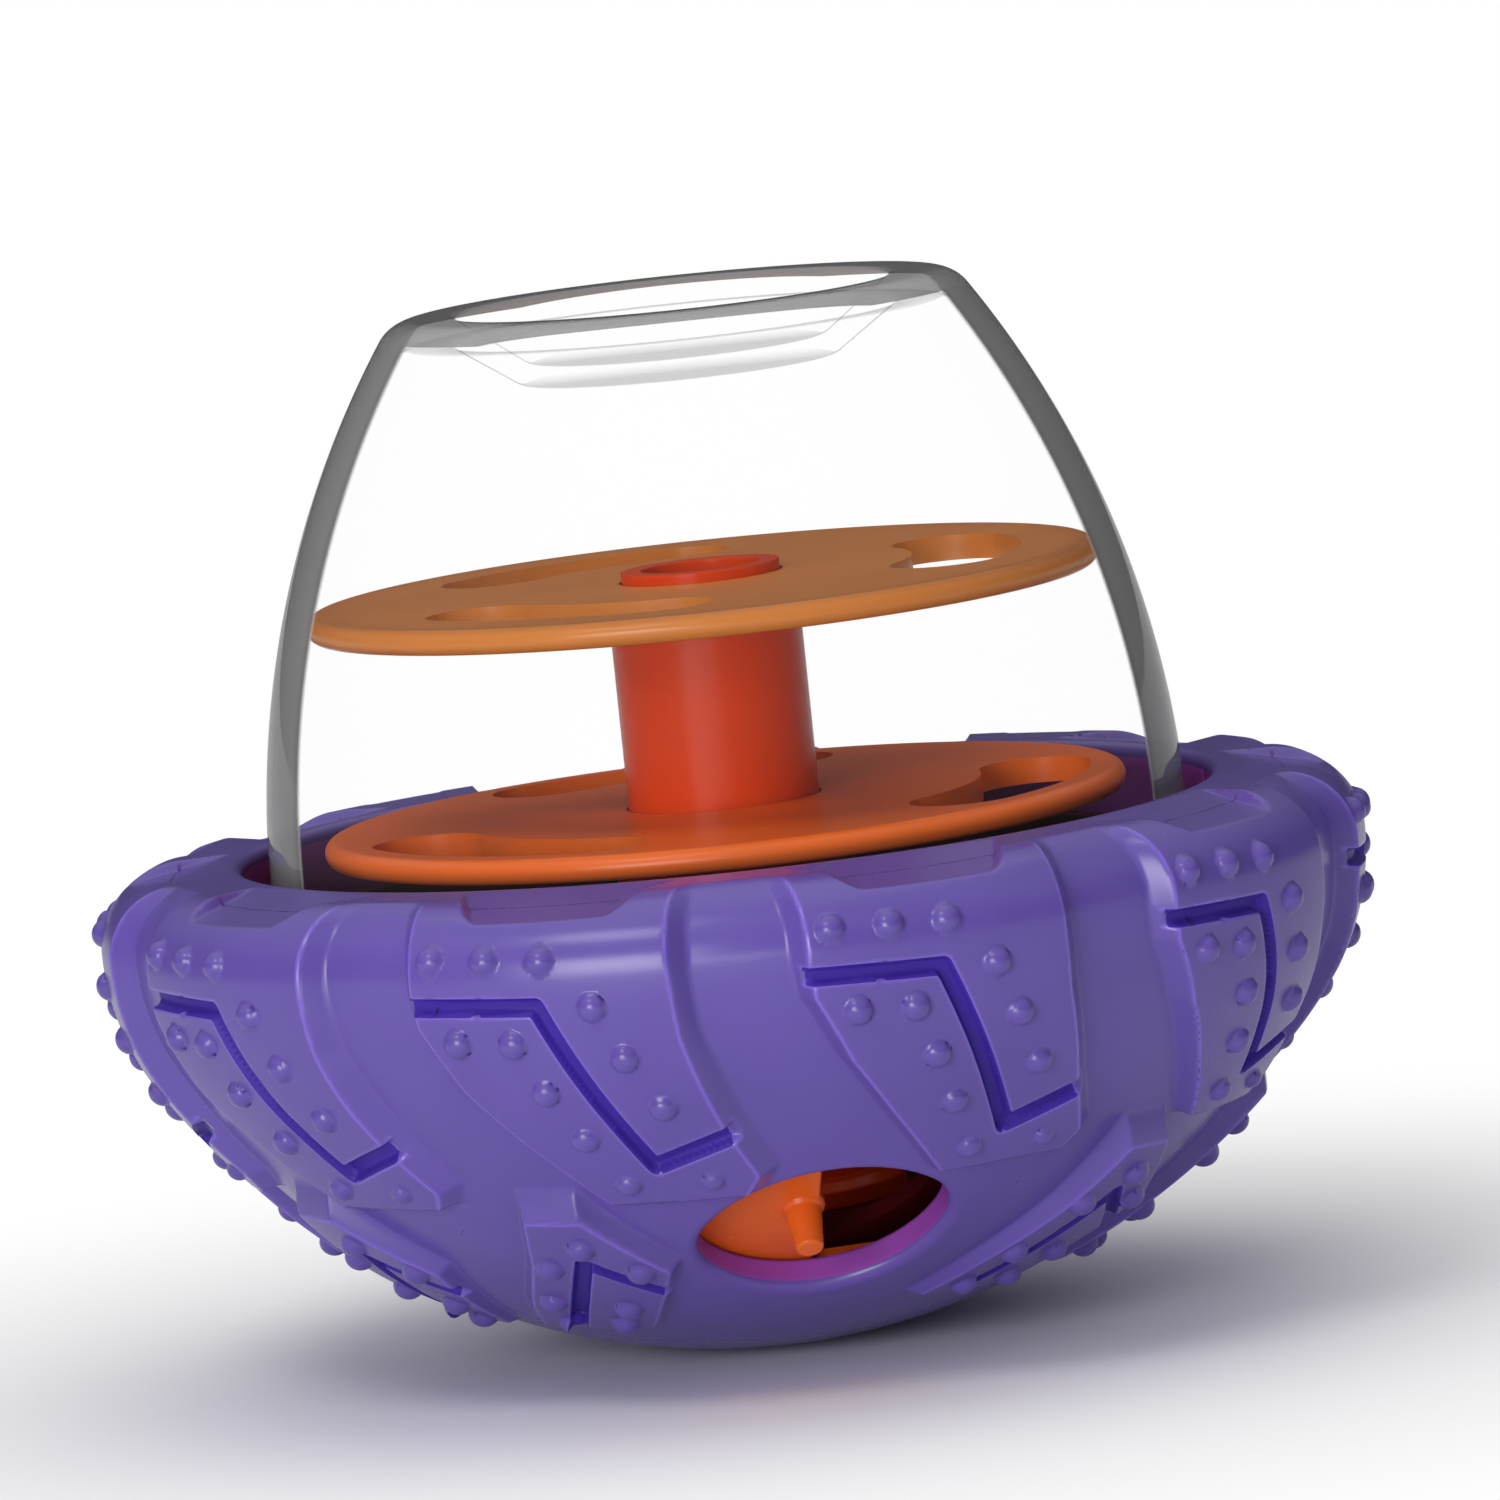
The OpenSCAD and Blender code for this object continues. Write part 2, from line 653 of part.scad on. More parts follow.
// Half section inside the dome's outline, moved in by a wall, up to a top height
module dome_section(wall, top, bottom) {
    side = dome_side_r - wall;
    edge = dome_edge_r - wall;
    edge_z = top - edge;
    edge_x = dome_centre_x + sqrt(pow(side - edge, 2) - pow(edge_z - dome_wide_z, 2));
    meet_z = dome_wide_z + (edge_z - dome_wide_z) * side / (side - edge);
    intersection() {
        translate([dome_centre_x, dome_wide_z]) circle(side);
        translate([0, bottom]) square([far, meet_z - bottom]);
    }
    translate([edge_x, edge_z]) circle(edge);
    translate([0, edge_z]) square([edge_x, edge]);
}

// Half section over the dish's floor and sloping side, lowered by a drop and widened
module dish_section(drop, widen) {
    polygon([
        [0, dish_z - drop],
        [dish_floor_r + widen / 2, dish_z - drop],
        [dish_mouth_r + widen + (dish_mouth_r - dish_floor_r) / dish_depth, dome_top_z + 1],
        [0, dome_top_z + 1]
    ]);
}

module dome() {
    color("#DDE6EA", 0.35) rotate_extrude() difference() {
        dome_section(0, dome_top_z, foot_z);
        dish_section(0, 0);
        difference() {
            dome_section(dome_wall, dome_top_z - dome_ring_t, foot_z - 1);
            dish_section(dome_wall, dome_wall);
        }
    }
}

tread_shell();
hopper_bowl();
gate_ring();
weight_disc();
weight_cover();
weight_screw(0);  // weight_screw_1
weight_screw(1);  // weight_screw_2
weight_screw(2);  // weight_screw_3
centre_post();
post_screw();
lower_tray();
upper_tray();
dome_seal();
dome();
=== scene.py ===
"""Tumbling puzzle feeder: the visible pieces, their finishes, the stage and the camera.

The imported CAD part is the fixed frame. Lengths in the formulas are in millimetres and are turned to
metres where a mesh is made. Azimuth is in degrees, 0 at the front (-Y) and growing towards +X.
"""

import bpy
import numpy as np
from bpy.props import FloatProperty, FloatVectorProperty, IntProperty, PointerProperty
from mathutils import Matrix, Vector


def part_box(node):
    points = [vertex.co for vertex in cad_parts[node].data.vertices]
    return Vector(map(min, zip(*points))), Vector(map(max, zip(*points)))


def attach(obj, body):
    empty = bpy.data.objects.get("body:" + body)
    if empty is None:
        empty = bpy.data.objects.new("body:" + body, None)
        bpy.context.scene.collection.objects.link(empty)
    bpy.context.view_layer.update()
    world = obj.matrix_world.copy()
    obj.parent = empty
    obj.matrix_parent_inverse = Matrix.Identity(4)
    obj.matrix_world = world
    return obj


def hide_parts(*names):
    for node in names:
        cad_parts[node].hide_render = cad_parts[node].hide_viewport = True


bl_info = {
    "name": "Tumbling puzzle feeder",
    "version": (1, 0, 0),
    "blender": (4, 5, 0),
    "location": "View3D > Sidebar > Feeder",
    "description": "Builds the visible pieces of a treaded tumbling puzzle feeder round its frame",
    "category": "Object",
}

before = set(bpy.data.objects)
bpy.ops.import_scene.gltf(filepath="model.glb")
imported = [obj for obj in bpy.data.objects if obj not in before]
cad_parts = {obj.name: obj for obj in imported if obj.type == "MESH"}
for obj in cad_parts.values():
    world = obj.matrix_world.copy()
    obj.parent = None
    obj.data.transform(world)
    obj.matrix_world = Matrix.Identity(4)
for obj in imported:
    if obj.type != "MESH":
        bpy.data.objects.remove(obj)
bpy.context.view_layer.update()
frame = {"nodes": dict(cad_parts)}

MM = 0.001


def top_of(node):
    """Height of a CAD node's top, in millimetres."""
    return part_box(node)[1][2] / MM


def bottom_of(node):
    """Height of a CAD node's bottom, in millimetres."""
    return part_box(node)[0][2] / MM


# Bowl: the underside is a sphere, the belly and the shoulder are arcs, and the rim is flat
RIM_Z = top_of("tread_shell")
FOOT_DROP = 0.3
BELLY_Z = 54.0
CHANNEL = {"sphere_r": 78.0, "belly_r": 72.2, "shoulder_r": 9.0}
FACE = {"sphere_r": 84.0, "belly_r": 75.0, "shoulder_r": 8.5}
LOW_FACE_R = 88.0
SPHERE_R = CHANNEL["sphere_r"]
SPHERE_Z = SPHERE_R - FOOT_DROP
INNER_R = 74.0
INNER_BELLY_R = 68.2
INNER_SHOULDER_R = 5.0
INNER_TOP = 58.5
LIP_R = 57.5
LIP_OUTER_R = 60.5
LIP_Z = 48.3
RIM_ROUND = 1.2
FOOT_THETA = 20.0
FACE_END_R = LIP_R + RIM_ROUND + 0.5

# Tread: each block's outline is on its own face, x across and z up, or up the slope on a low block
BLOCK_COUNT = 10
BLOCK_FIRST = 18.0
BLOCK_LEFT = ((20, 6.5), (23.9, 3.2), (34.4, -5.6), (41, -10.8), (49, -15.1), (53, -15.6), (64, -15.4))
BLOCK_RIGHT = ((20, 20.6), (28, 19.1), (34.4, 17.5), (46, 15.5), (58, 15.0), (64, 14.6))
BLOCK_LEFT_WALL = ((20, 1.4), (34.4, 1.8), (64, 1.8))
BLOCK_RIGHT_WALL = ((20, 2.6), (46, 2.4), (64, 2.0))
BLOCK_TOE = ((3.2, 23.9), (13.2, 21.8), (19.1, 28))
BLOCK_TOE_WALLS = (1.8, 1.9)
BLOCK_GROOVE = ((-19, 51.7), (-0.3, 51), (8.5, 30.6), (22, 34.9))
BLOCK_NUBS = (
    ((-9.9, 56.9), (-4.7, 56.6), (0.5, 56.3), (4.8, 50.5), (7, 44.2), (9.6, 37.9))
    + ((-8.1, 47.1), (-2.9, 46.7), (-0.9, 40.7), (1.4, 34.6), (4.1, 28), (12.9, 27.4))
)
LOW_FIRST = 8.0
LOW_THETA = 38.0
LOW_LEFT = ((-16, -11.9), (-6, -8.3), (5.3, -2.5), (14.7, 0.9), (20, 2.6))
LOW_EDGES = ((-11.3, -14.5), (3.1, -14.5), (9.4, -5), (13, 1), (7.7, 13.9), (0.9, 14.7))
LOW_WALLS = (1.4, 0.7, 1.2, 1.3, 1.3, 3.3)
LOW_GROOVE = ((-9.6, -19.5), (4.3, 5.6), (14, -8.7))
LOW_NUBS = ((5.4, 8.9), (-0.6, 4.8), (9.9, 2.2), (-4.8, -4.4), (3.8, -7), (-6.4, -12.2), (0.6, -12.2))
FOOT_ROUND = 0.35
EDGE_ROUND = 0.2
GROOVE_HALF = 1.1
GROOVE_DEPTH = 1.5
LOW_GROOVE_DEPTH = 1.2
GROOVE_WALL = 0.42
NUB_R = 1.8
POCKET_RS = (59.0, 72.0)
POCKET_START_Z = BELLY_Z + 2.0
POCKET_LOW_Z = 60.3
POCKET_HALVES = (13.0, 9.0)
POCKET_CORNER = 3.0
POCKET_END = 0.7

# How blocks are put on the skin: the azimuth that half a block may take up, how soft its corners are in
# plan and in height, and the cosine of a low block's left edge. A groove has creases up to GROOVE_REACH
# outside its block, and its floor takes the painted groove shade up to GROOVE_MARGIN past its walls. Less
# than CUT_LEAST deep, a cut doesn't count. Nubs lie where the bowl's outline is outside NUB_OUTSIDE_R.
BLOCK_REACH = 26.0
BLOCK_CORNER = 0.5
LOW_CORNER = 0.4
HEIGHT_CORNER = 0.08
LOW_LEFT_LEAN = 0.9
GROOVE_REACH = 1.2
GROOVE_MARGIN = 0.07
CUT_LEAST = 0.05
NUB_OUTSIDE_R = 62.0

# Painted highlight lines on sharp edges: half their width, and the height over which they fade in
HIGHLIGHT_HALF = 0.32
HIGHLIGHT_LOW = 0.3
HIGHLIGHT_RISE = 0.5

# Distances that stand for far off, and for no crease at all
FAR = 9.0
NOWHERE = -99.0

# Steps of the tread's meshes: along the outlines of channel and face, of which the face starts FACE_LEAD
# degrees lower, the degrees and rows of the coarse inner skin, cells left alone at a border, the share
# of a cell by which a point may move to a crease, rings over the skin, the lip and the wall of an
# outlet, and columns round the foot
CHANNEL_STEPS = 1400
FACE_STEPS = 3000
FACE_LEAD = 8.0
COARSE_CELL = 2.4
COARSE_ROWS = 16
BORDER_CELLS = 3
CREASE_REACH = 0.46
SKIN_RINGS = 26
LIP_RINGS = 8
WALL_RINGS = 6
FOOT_COLUMNS = 150

# Outlets
OUTLET_AZIMUTH = 7.5
OUTLET_THETA = 40.5
OUTLET_SIZE = (29.0, 23.5)
OUTLET_TURN = 9.0
OUTLET_LIP = 1.6
OUTLET_END_SHARE = 0.36

# Gate ring between hopper and shell
GATE_RS = (71.8, 73.6)
GATE_THETAS = (27.5, 53.0)
HOOP_THETA = 1.6
HOOP_ROUND = 0.35
SHUTTER_SPAN = 36.0
SHUTTER_ROUND = 0.5
SHUTTER_LAP = 1.0
PEG_AZIMUTH = OUTLET_AZIMUTH - 2.4
PEG_LENGTH = 5.6
PEG_RS = (2.6, 2.1, 1.6)
HOOP_COLUMNS = 240
PEG_COLUMNS = 48

# Dome
DOME_R = 54.3
DOME_WIDE_Z = 58.0
DOME_SIDE_R = 115.5
DOME_TOP = top_of("dome")
DOME_FOOT = bottom_of("dome")
DOME_WALL = 2.4
DOME_RING = 3.4
DOME_EDGE_R = 5.0
DISH_DEPTH = 6.4
DISH_FLOOR_R = 17.5
DISH_MOUTH_R = 26.0
DISH_ROUNDS = (1.4, 2.2)
DOME_SIDE_POINTS = 70
DOME_RING_POINTS = 20

# Camera's aim: height on the axis, and shift right and up in the picture, in metres
AIM_Z = 0.065
AIM_SHIFT = (0.00313, 0.00512)


# Colours


def linear(hex_colour):
    """sRGB hex to a linear colour with alpha, each channel by the standard sRGB curve."""
    rgb = np.array([int(hex_colour[i : i + 2], 16) for i in (1, 3, 5)]) / 255
    out = np.where(rgb <= 0.04045, rgb / 12.92, ((rgb + 0.055) / 1.055) ** 2.4)
    return (*[float(c) for c in out], 1.0)


def colour_property(name, description, hex_colour):
    """A colour field whose default is an sRGB hex value."""
    return FloatVectorProperty(
        name=name, description=description, default=linear(hex_colour), size=4, min=0, max=1, subtype="COLOR"
    )


# Outlines in the (radius, height) plane


def joint_angle(sphere_r, belly_r):
    """(radius of the belly's arc, angle where it leaves the sphere): the arc touches the sphere inside
    and is upright at the belly, so its radius follows from the distance between their centres."""
    c = sphere_r - FOOT_DROP
    rho = (sphere_r**2 - belly_r**2 - (c - BELLY_Z) ** 2) / (2 * (sphere_r - belly_r))
    return rho, np.arcsin((belly_r - rho) / (sphere_r - rho))


def arc(cx, cz, r, start, end, steps):
    """Points (cx + r sin a, cz - r cos a) for a from start to end, in radians."""
    a = np.linspace(start, end, steps)
    return np.c_[cx + r * np.sin(a), cz - r * np.cos(a)]


def bowl_line(sphere_r, belly_r, shoulder_r, start_theta):
    """Outline of the bowl as a fine bent line: sphere, belly, shoulder, the flat rim inwards, and the
    rounded edge of the lip."""
    rho, joint = joint_angle(sphere_r, belly_r)
    top = np.pi / 2 + np.arcsin((RIM_Z - BELLY_Z) / shoulder_r)
    fine = 500
    shoulder = arc(belly_r - shoulder_r, BELLY_Z, shoulder_r, np.pi / 2, top, 4 * fine)
    flat_end = LIP_R + RIM_ROUND
    flat = np.linspace(shoulder[-1, 0], flat_end, fine)
    line = [
        arc(0, sphere_r - FOOT_DROP, sphere_r, np.radians(start_theta), joint, 12 * fine),
        arc(belly_r - rho, BELLY_Z, rho, joint, np.pi / 2, 6 * fine),
        shoulder,
        np.c_[flat, np.full(fine, RIM_Z)],
        arc(flat_end, RIM_Z - RIM_ROUND, RIM_ROUND, np.pi, 1.5 * np.pi, fine),
    ]
    line = np.concatenate(line)
    step = np.linalg.norm(np.diff(line, axis=0), axis=1)
    return line[np.r_[True, step > 1e-7]]


def evenly(line, count):
    """Distances, points and right-hand normals at equal steps along a bent line."""
    step = np.linalg.norm(np.diff(line, axis=0), axis=1)
    along = np.r_[0, np.cumsum(step)]
    s = np.linspace(0, along[-1], count)
    points = np.c_[np.interp(s, along, line[:, 0]), np.interp(s, along, line[:, 1])]
    way = np.gradient(points, axis=0)
    way /= np.linalg.norm(way, axis=1)[:, None]
    return s, points, np.c_[way[:, 1], -way[:, 0]]


def height_over(points, normals, target):
    """How far each normal runs from its point to the target line: where the target crosses the
    normal's own line, which is where the cross product with the normal changes sign."""
    d = target[None] - points[:, None]
    cross = d[..., 0] * normals[:, None, 1] - d[..., 1] * normals[:, None, 0]
    ahead = d[..., 0] * normals[:, None, 0] + d[..., 1] * normals[:, None, 1]
    hit = (cross[:, :-1] * cross[:, 1:] <= 0) & (ahead[:, :-1] > -1) & (ahead[:, :-1] < FAR)
    j = hit.argmax(1)
    rows = np.arange(len(points))
    c0, c1 = cross[rows, j], cross[rows, j + 1]
    t = c0 / np.where(np.abs(c0 - c1) < 1e-12, 1, c0 - c1)
    out = ahead[rows, j] + t * (ahead[rows, j + 1] - ahead[rows, j])
    return np.where(hit.any(1), np.maximum(out, 0), 0)


# Soft steps and distances


def soft_positive(x, half):
    """The greater of x and 0, with a parabola over the corner, half wide on each side."""
    return np.where(x > half, x, np.where(x < -half, 0, (x + half) ** 2 / (4 * half)))


def wall_ramp(distance, width):
    """Share of a block's height beside one of its edges: 1 inside the face, falling straight to 0 over
    the wall's width, with the top edge and the foot rounded."""
    x = 1 + distance / width
    return 1 - soft_positive(1 - soft_positive(x, FOOT_ROUND / width), EDGE_ROUND / width)


def soft_least(items, k):
    """The least of several values, with a parabola where two are nearly equal."""
    out = items[0]
    for b in items[1:]:
        h = np.clip(0.5 + 0.5 * (b - out) / k, 0, 1)
        out = b + (out - b) * h - k * h * (1 - h)
    return out


def side_distance(x, y, a, b):
    """Distance to the left of the line from a to b."""
    tx, ty = (np.array(b) - np.array(a)) / np.hypot(b[0] - a[0], b[1] - a[1])
    return tx * (y - a[1]) - ty * (x - a[0])


def path_distance(x, y, path):
    """Distance to the nearest stretch of a bent line."""
    out = np.full(np.shape(x), 1e9)
    for a, b in zip(path[:-1], path[1:]):
        tx, ty = b[0] - a[0], b[1] - a[1]
        k = np.clip(((x - a[0]) * tx + (y - a[1]) * ty) / (tx * tx + ty * ty), 0, 1)
        out = np.minimum(out, np.hypot(x - a[0] - k * tx, y - a[1] - k * ty))
    return out


def table(z, pairs):
    """Straight interpolation in a short table of (height, value)."""
    zs, values = zip(*pairs)
    return np.interp(z, zs, values)


class TreadSkin:
    """The tread shell's outer skin: a place is an azimuth and a distance s along the channel's outline,
    and the skin lies at a height over it, measured along the outline's normal."""

    def __init__(self, nub_height, groove_depth):
        self.nub_height = nub_height
        self.groove_scale = groove_depth / GROOVE_DEPTH
        line = bowl_line(**CHANNEL, start_theta=FOOT_THETA)
        self.s, self.base, self.normal = evenly(line, CHANNEL_STEPS)
        self.length = self.s[-1]
        face = evenly(bowl_line(**FACE, start_theta=FOOT_THETA - FACE_LEAD), FACE_STEPS)[1]
        self.rise = height_over(self.base, self.normal, face)
        self.rise[self.base[:, 0] < FACE_END_R] = 0
        theta = np.arctan2(self.base[:, 0], SPHERE_Z - self.base[:, 1])
        d = LOW_FACE_R - SPHERE_R
        low = -d * np.cos(theta) + np.sqrt((d * np.cos(theta)) ** 2 + LOW_FACE_R**2 - d**2)
        self.low_rise = np.maximum(low - SPHERE_R, 0)

    def at(self, values, s):
        """Values along the outline at the distances s, by straight interpolation."""
        return np.interp(s, self.s, values)

    def nubs(self, distance):
        """Height of a round nub: a cap of a sphere, as high as set at its middle and 0 at its foot."""
        h = self.nub_height
        sphere = (NUB_R**2 + h**2) / (2 * h)
        cap = np.sqrt(sphere**2 - np.minimum(distance, NUB_R) ** 2) - (sphere - h)
        return np.where(distance < NUB_R, cap, 0)

    def carve(self, h, rise, inside, groove, depth, nubs):
        """A block's height with its groove cut and its nubs set on, and where the painted groove shade goes.
        """
        cut = np.clip((GROOVE_HALF - groove) / GROOVE_WALL, 0, 1)
        floor = np.maximum(rise - depth * self.groove_scale, 0)
        out = h + (np.minimum(h, floor) - h) * cut
        painted_shade = (groove < GROOVE_HALF + GROOVE_MARGIN) & (inside > -GROOVE_MARGIN)
        return out + self.nubs(nubs), painted_shade & (h > floor + CUT_LEAST)

    def creases(self, inside, groove, nubs):
        """The three distances that have a crease, with its level: outline, groove near the block, nubs."""
        groove = np.where(inside > -GROOVE_REACH, groove, FAR)
        return [(inside, 0.0), (groove, GROOVE_HALF), (nubs, NUB_R)]

    def block(self, azimuth, s):
        """Height, groove mask and crease distances of one upper block, azimuth from its middle."""
        rise = self.at(self.rise, s)
        r = self.at(self.base[:, 0], s) + self.at(self.normal[:, 0], s) * rise
        z = self.at(self.base[:, 1], s) + self.at(self.normal[:, 1], s) * rise
        a = np.radians(azimuth)
        x = r * np.sin(a)
        left = x - table(z, BLOCK_LEFT)
        right = table(z, BLOCK_RIGHT) - x
        toe = [side_distance(x, z, a, b) for a, b in zip(BLOCK_TOE[:-1], BLOCK_TOE[1:])]
        sides = [left, right, *toe]
        widths = [table(z, BLOCK_LEFT_WALL), table(z, BLOCK_RIGHT_WALL), *BLOCK_TOE_WALLS]
        inside = soft_least(sides, BLOCK_CORNER)
        h = rise * soft_least([wall_ramp(d, w) for d, w in zip(sides, widths)], HEIGHT_CORNER)
        groove = path_distance(x, z, BLOCK_GROOVE)
        nubs = np.full(np.shape(x), FAR)
        face_z = self.base[:, 1] + self.normal[:, 1] * self.rise
        face_z = np.where(self.base[:, 0] > NUB_OUTSIDE_R, face_z, 1e9)
        for turn, nub_z in BLOCK_NUBS:
            row = np.abs(face_z - nub_z).argmin()
            nub_r = self.base[row, 0] + self.normal[row, 0] * self.rise[row]
            b = a - np.radians(turn)
            squared = (r * np.sin(b)) ** 2 + (r * np.cos(b) - nub_r) ** 2 + (z - nub_z) ** 2
            nubs = np.minimum(nubs, np.sqrt(squared))
        # The groove runs out through the left wall, and stops at the right one
        h, groove_shade_mask = self.carve(h, rise, np.where(x < 0, FAR, inside), groove, GROOVE_DEPTH, nubs)
        return h, groove_shade_mask, self.creases(inside, groove, nubs)

    def low_block(self, azimuth, s):
        """The same for one lower block, on the plane that leans with the slope at its middle."""
        r, z = self.at(self.base[:, 0], s), self.at(self.base[:, 1], s)
        rise = self.at(self.low_rise, s)
        theta = np.arctan2(r, SPHERE_Z - z)
        rho = np.hypot(r, SPHERE_Z - z) + rise
        a, slope = np.radians(azimuth), np.radians(LOW_THETA)
        x = rho * np.sin(theta) * np.sin(a)
        y = rho * (np.sin(theta) * np.cos(a) * np.cos(slope) - np.cos(theta) * np.sin(slope))
        left = LOW_LEFT_LEAN * (x - table(y, LOW_LEFT))
        edges = [side_distance(x, y, a, b) for a, b in zip(LOW_EDGES[:-1], LOW_EDGES[1:])]
        sides = [left, *edges]
        inside = soft_least(sides, LOW_CORNER)
        h = rise * soft_least([wall_ramp(d, w) for d, w in zip(sides, LOW_WALLS)], HEIGHT_CORNER)
        groove = path_distance(x, y, LOW_GROOVE)
        nubs = np.full(np.shape(x), FAR)
        for nub_x, nub_y in LOW_NUBS:
            nubs = np.minimum(nubs, np.hypot(x - nub_x, y - nub_y))
        h, groove_shade_mask = self.carve(h, rise, inside, groove, LOW_GROOVE_DEPTH, nubs)
        return h, groove_shade_mask, self.creases(inside, groove, nubs)

    def pocket(self, azimuth, s, height):
        """Depth and outline distances of the pocket in one block's top: a flat that cuts the rounded
        shoulder from a low outer edge up to the rim, between two ends that lean together and bend
        inwards at the outer corners."""
        r, z = self.at(self.base[:, 0], s), self.at(self.base[:, 1], s)
        out_r, out_z = self.at(self.normal[:, 0], s), self.at(self.normal[:, 1], s)
        a = np.radians(azimuth)
        x, y = (r + out_r * height) * np.sin(a), (r + out_r * height) * np.cos(a)
        inner, outer = POCKET_RS
        fall = (RIM_Z - POCKET_LOW_Z) / (outer - inner)
        over = z + out_z * height - RIM_Z + fall * (y - inner)
        steep = np.maximum(out_z + out_r * np.cos(a) * fall, 0.05)
        deep = np.where(z > POCKET_START_Z, over / steep, -FAR)
        lean = (POCKET_HALVES[0] - POCKET_HALVES[1]) / (outer - inner)
        bend = np.maximum(y - outer + POCKET_CORNER, 0) ** 2 / (2 * POCKET_CORNER)
        ends = (POCKET_HALVES[1] + (outer - y) * lean - bend - np.abs(x)) / np.hypot(1, lean)
        cut = np.maximum(deep, 0) * np.clip(ends / POCKET_END, 0, 1)
        return cut, np.where(ends > 0, deep, -FAR), np.where(deep > CUT_LEAST, ends, -FAR)

    def relief(self, azimuth, s):
        """Height over the channel, mask of the painted groove shade, the distances whose given level is a
        crease, and the share of the painted highlight line along the top edge of a block or groove: the
        greatest of the blocks near a place, less the pockets."""
        step = 360 / BLOCK_COUNT
        height, groove_shade_mask = np.zeros(np.shape(azimuth)), np.zeros(np.shape(azimuth), bool)
        creases, line = [], np.zeros(np.shape(azimuth))
        for shift in (-1, 0, 1):
            upper = (azimuth - BLOCK_FIRST + step / 2) % step - step / 2 + shift * step
            k = np.round((azimuth - LOW_FIRST) / step) - shift
            lower = azimuth - LOW_FIRST - step * k
            kept = (np.abs(lower) < BLOCK_REACH) & (np.mod(k, BLOCK_COUNT / 2) != 0)
            for near, (h, cut, more) in (
                (np.abs(upper) < BLOCK_REACH, self.block(upper, s)),
                (kept, self.low_block(lower, s)),
            ):
                take = near & (h > height + 1e-9)
                height, groove_shade_mask = np.where(take, h, height), np.where(take, cut, groove_shade_mask)
                close = [1 - np.abs(value - level) / HIGHLIGHT_HALF for value, level in more[:2]]
                share = np.clip(np.maximum(*close), 0, 1) * np.clip((h - HIGHLIGHT_LOW) / HIGHLIGHT_RISE, 0, 1)
                line = np.where(take, share, line)
                creases += [(np.where(near, value, NOWHERE), level) for value, level in more]
        upper = (azimuth - BLOCK_FIRST + step / 2) % step - step / 2
        depth, low_edge, ends = self.pocket(upper, s, height)
        creases += [(low_edge, 0.0), (ends, 0.0)]
        return height - depth, groove_shade_mask, creases, line

    def point(self, azimuth, s, height):
        """The outline's point moved out along its normal by the height, turned to the azimuth."""
        r = self.at(self.base[:, 0], s) + self.at(self.normal[:, 0], s) * height
        z = self.at(self.base[:, 1], s) + self.at(self.normal[:, 1], s) * height
        a = np.radians(azimuth)
        return np.stack([r * np.sin(a), -r * np.cos(a), z], -1)

    def on_creases(self, azimuth, s, reach_a, reach_s):
        """The same places, each moved by less than its two reaches, so that creases pass through them:
        down the slope of the nearest crease's distance, which is found from two small shifts. A slope
        that is too flat or too steep to be a distance's is left out."""
        mm = np.radians(1) * np.maximum(self.at(self.base[:, 0], s), 1)
        step, least, most = 0.04, 0.4, 2.5
        here = self.relief(azimuth, s)[2]
        east = self.relief(azimuth + step / mm, s)[2]
        north = self.relief(azimuth, s + step)[2]
        best = np.full(np.shape(azimuth), FAR)
        move_a, move_s = np.zeros(np.shape(azimuth)), np.zeros(np.shape(azimuth))
        for (v, level), (ve, _), (vn, _) in zip(here, east, north):
            ga, gs = (ve - v) / step, (vn - v) / step
            size = np.hypot(ga, gs)
            sound = (size > least) & (size < most)
            size = np.where(sound, size, 1)
            off = (v - level) / size
            near = (np.abs(off * ga) < reach_a * size) & (np.abs(off * gs) < reach_s * size)
            take = sound & near & (np.abs(off) < best)
            best = np.where(take, np.abs(off), best)
            move_a = np.where(take, -off * ga / size / mm, move_a)
            move_s = np.where(take, -off * gs / size, move_s)
        return azimuth + move_a, s + move_s


# Meshes


def make_mesh(name, points, faces, materials, face_material=None, normals=None):
    """A smooth mesh object at the origin, from points in millimetres and lists of faces."""
    mesh = bpy.data.meshes.new(name)
    listed = [f for block in faces for f in (block.tolist() if isinstance(block, np.ndarray) else block)]
    mesh.from_pydata((np.asarray(points) * MM).tolist(), [], listed)
    mesh.polygons.foreach_set("use_smooth", np.ones(len(mesh.polygons), bool))
    for material in materials:
        mesh.materials.append(material)
    if face_material is not None:
        mesh.polygons.foreach_set("material_index", face_material.astype(np.int32))
    mesh.update()
    if normals is not None:
        at, values = normals
        every = np.empty(len(mesh.vertices) * 3, np.float32)
        mesh.vertex_normals.foreach_get("vector", every)
        every = every.reshape(-1, 3)
        every[at] = values
        mesh.normals_split_custom_set_from_vertices(every.tolist())
    obj = bpy.data.objects.new(name, mesh)
    bpy.context.scene.collection.objects.link(obj)
    return obj


def grid_faces(index, wrap_rows=False, wrap_columns=False):
    """Four-cornered faces over a table of vertex numbers, seen from the side where columns run right
    and rows run up."""
    a = index
    if wrap_rows:
        a = np.vstack([a, a[:1]])
    if wrap_columns:
        a = np.hstack([a, a[:, :1]])
    return np.stack([a[:-1, :-1], a[:-1, 1:], a[1:, 1:], a[1:, :-1]], -1).reshape(-1, 4)


def split_faces(quads, height):
    """Two triangles for each four-cornered face, cut along the diagonal whose ends differ less in
    height, so that a slanting crease isn't sawn."""
    h = height[quads]
    first = np.abs(h[:, 0] - h[:, 2]) <= np.abs(h[:, 1] - h[:, 3])
    a = np.where(first[:, None], quads[:, [0, 1, 2]], quads[:, [0, 1, 3]])
    b = np.where(first[:, None], quads[:, [0, 2, 3]], quads[:, [1, 2, 3]])
    return np.concatenate([a, b])


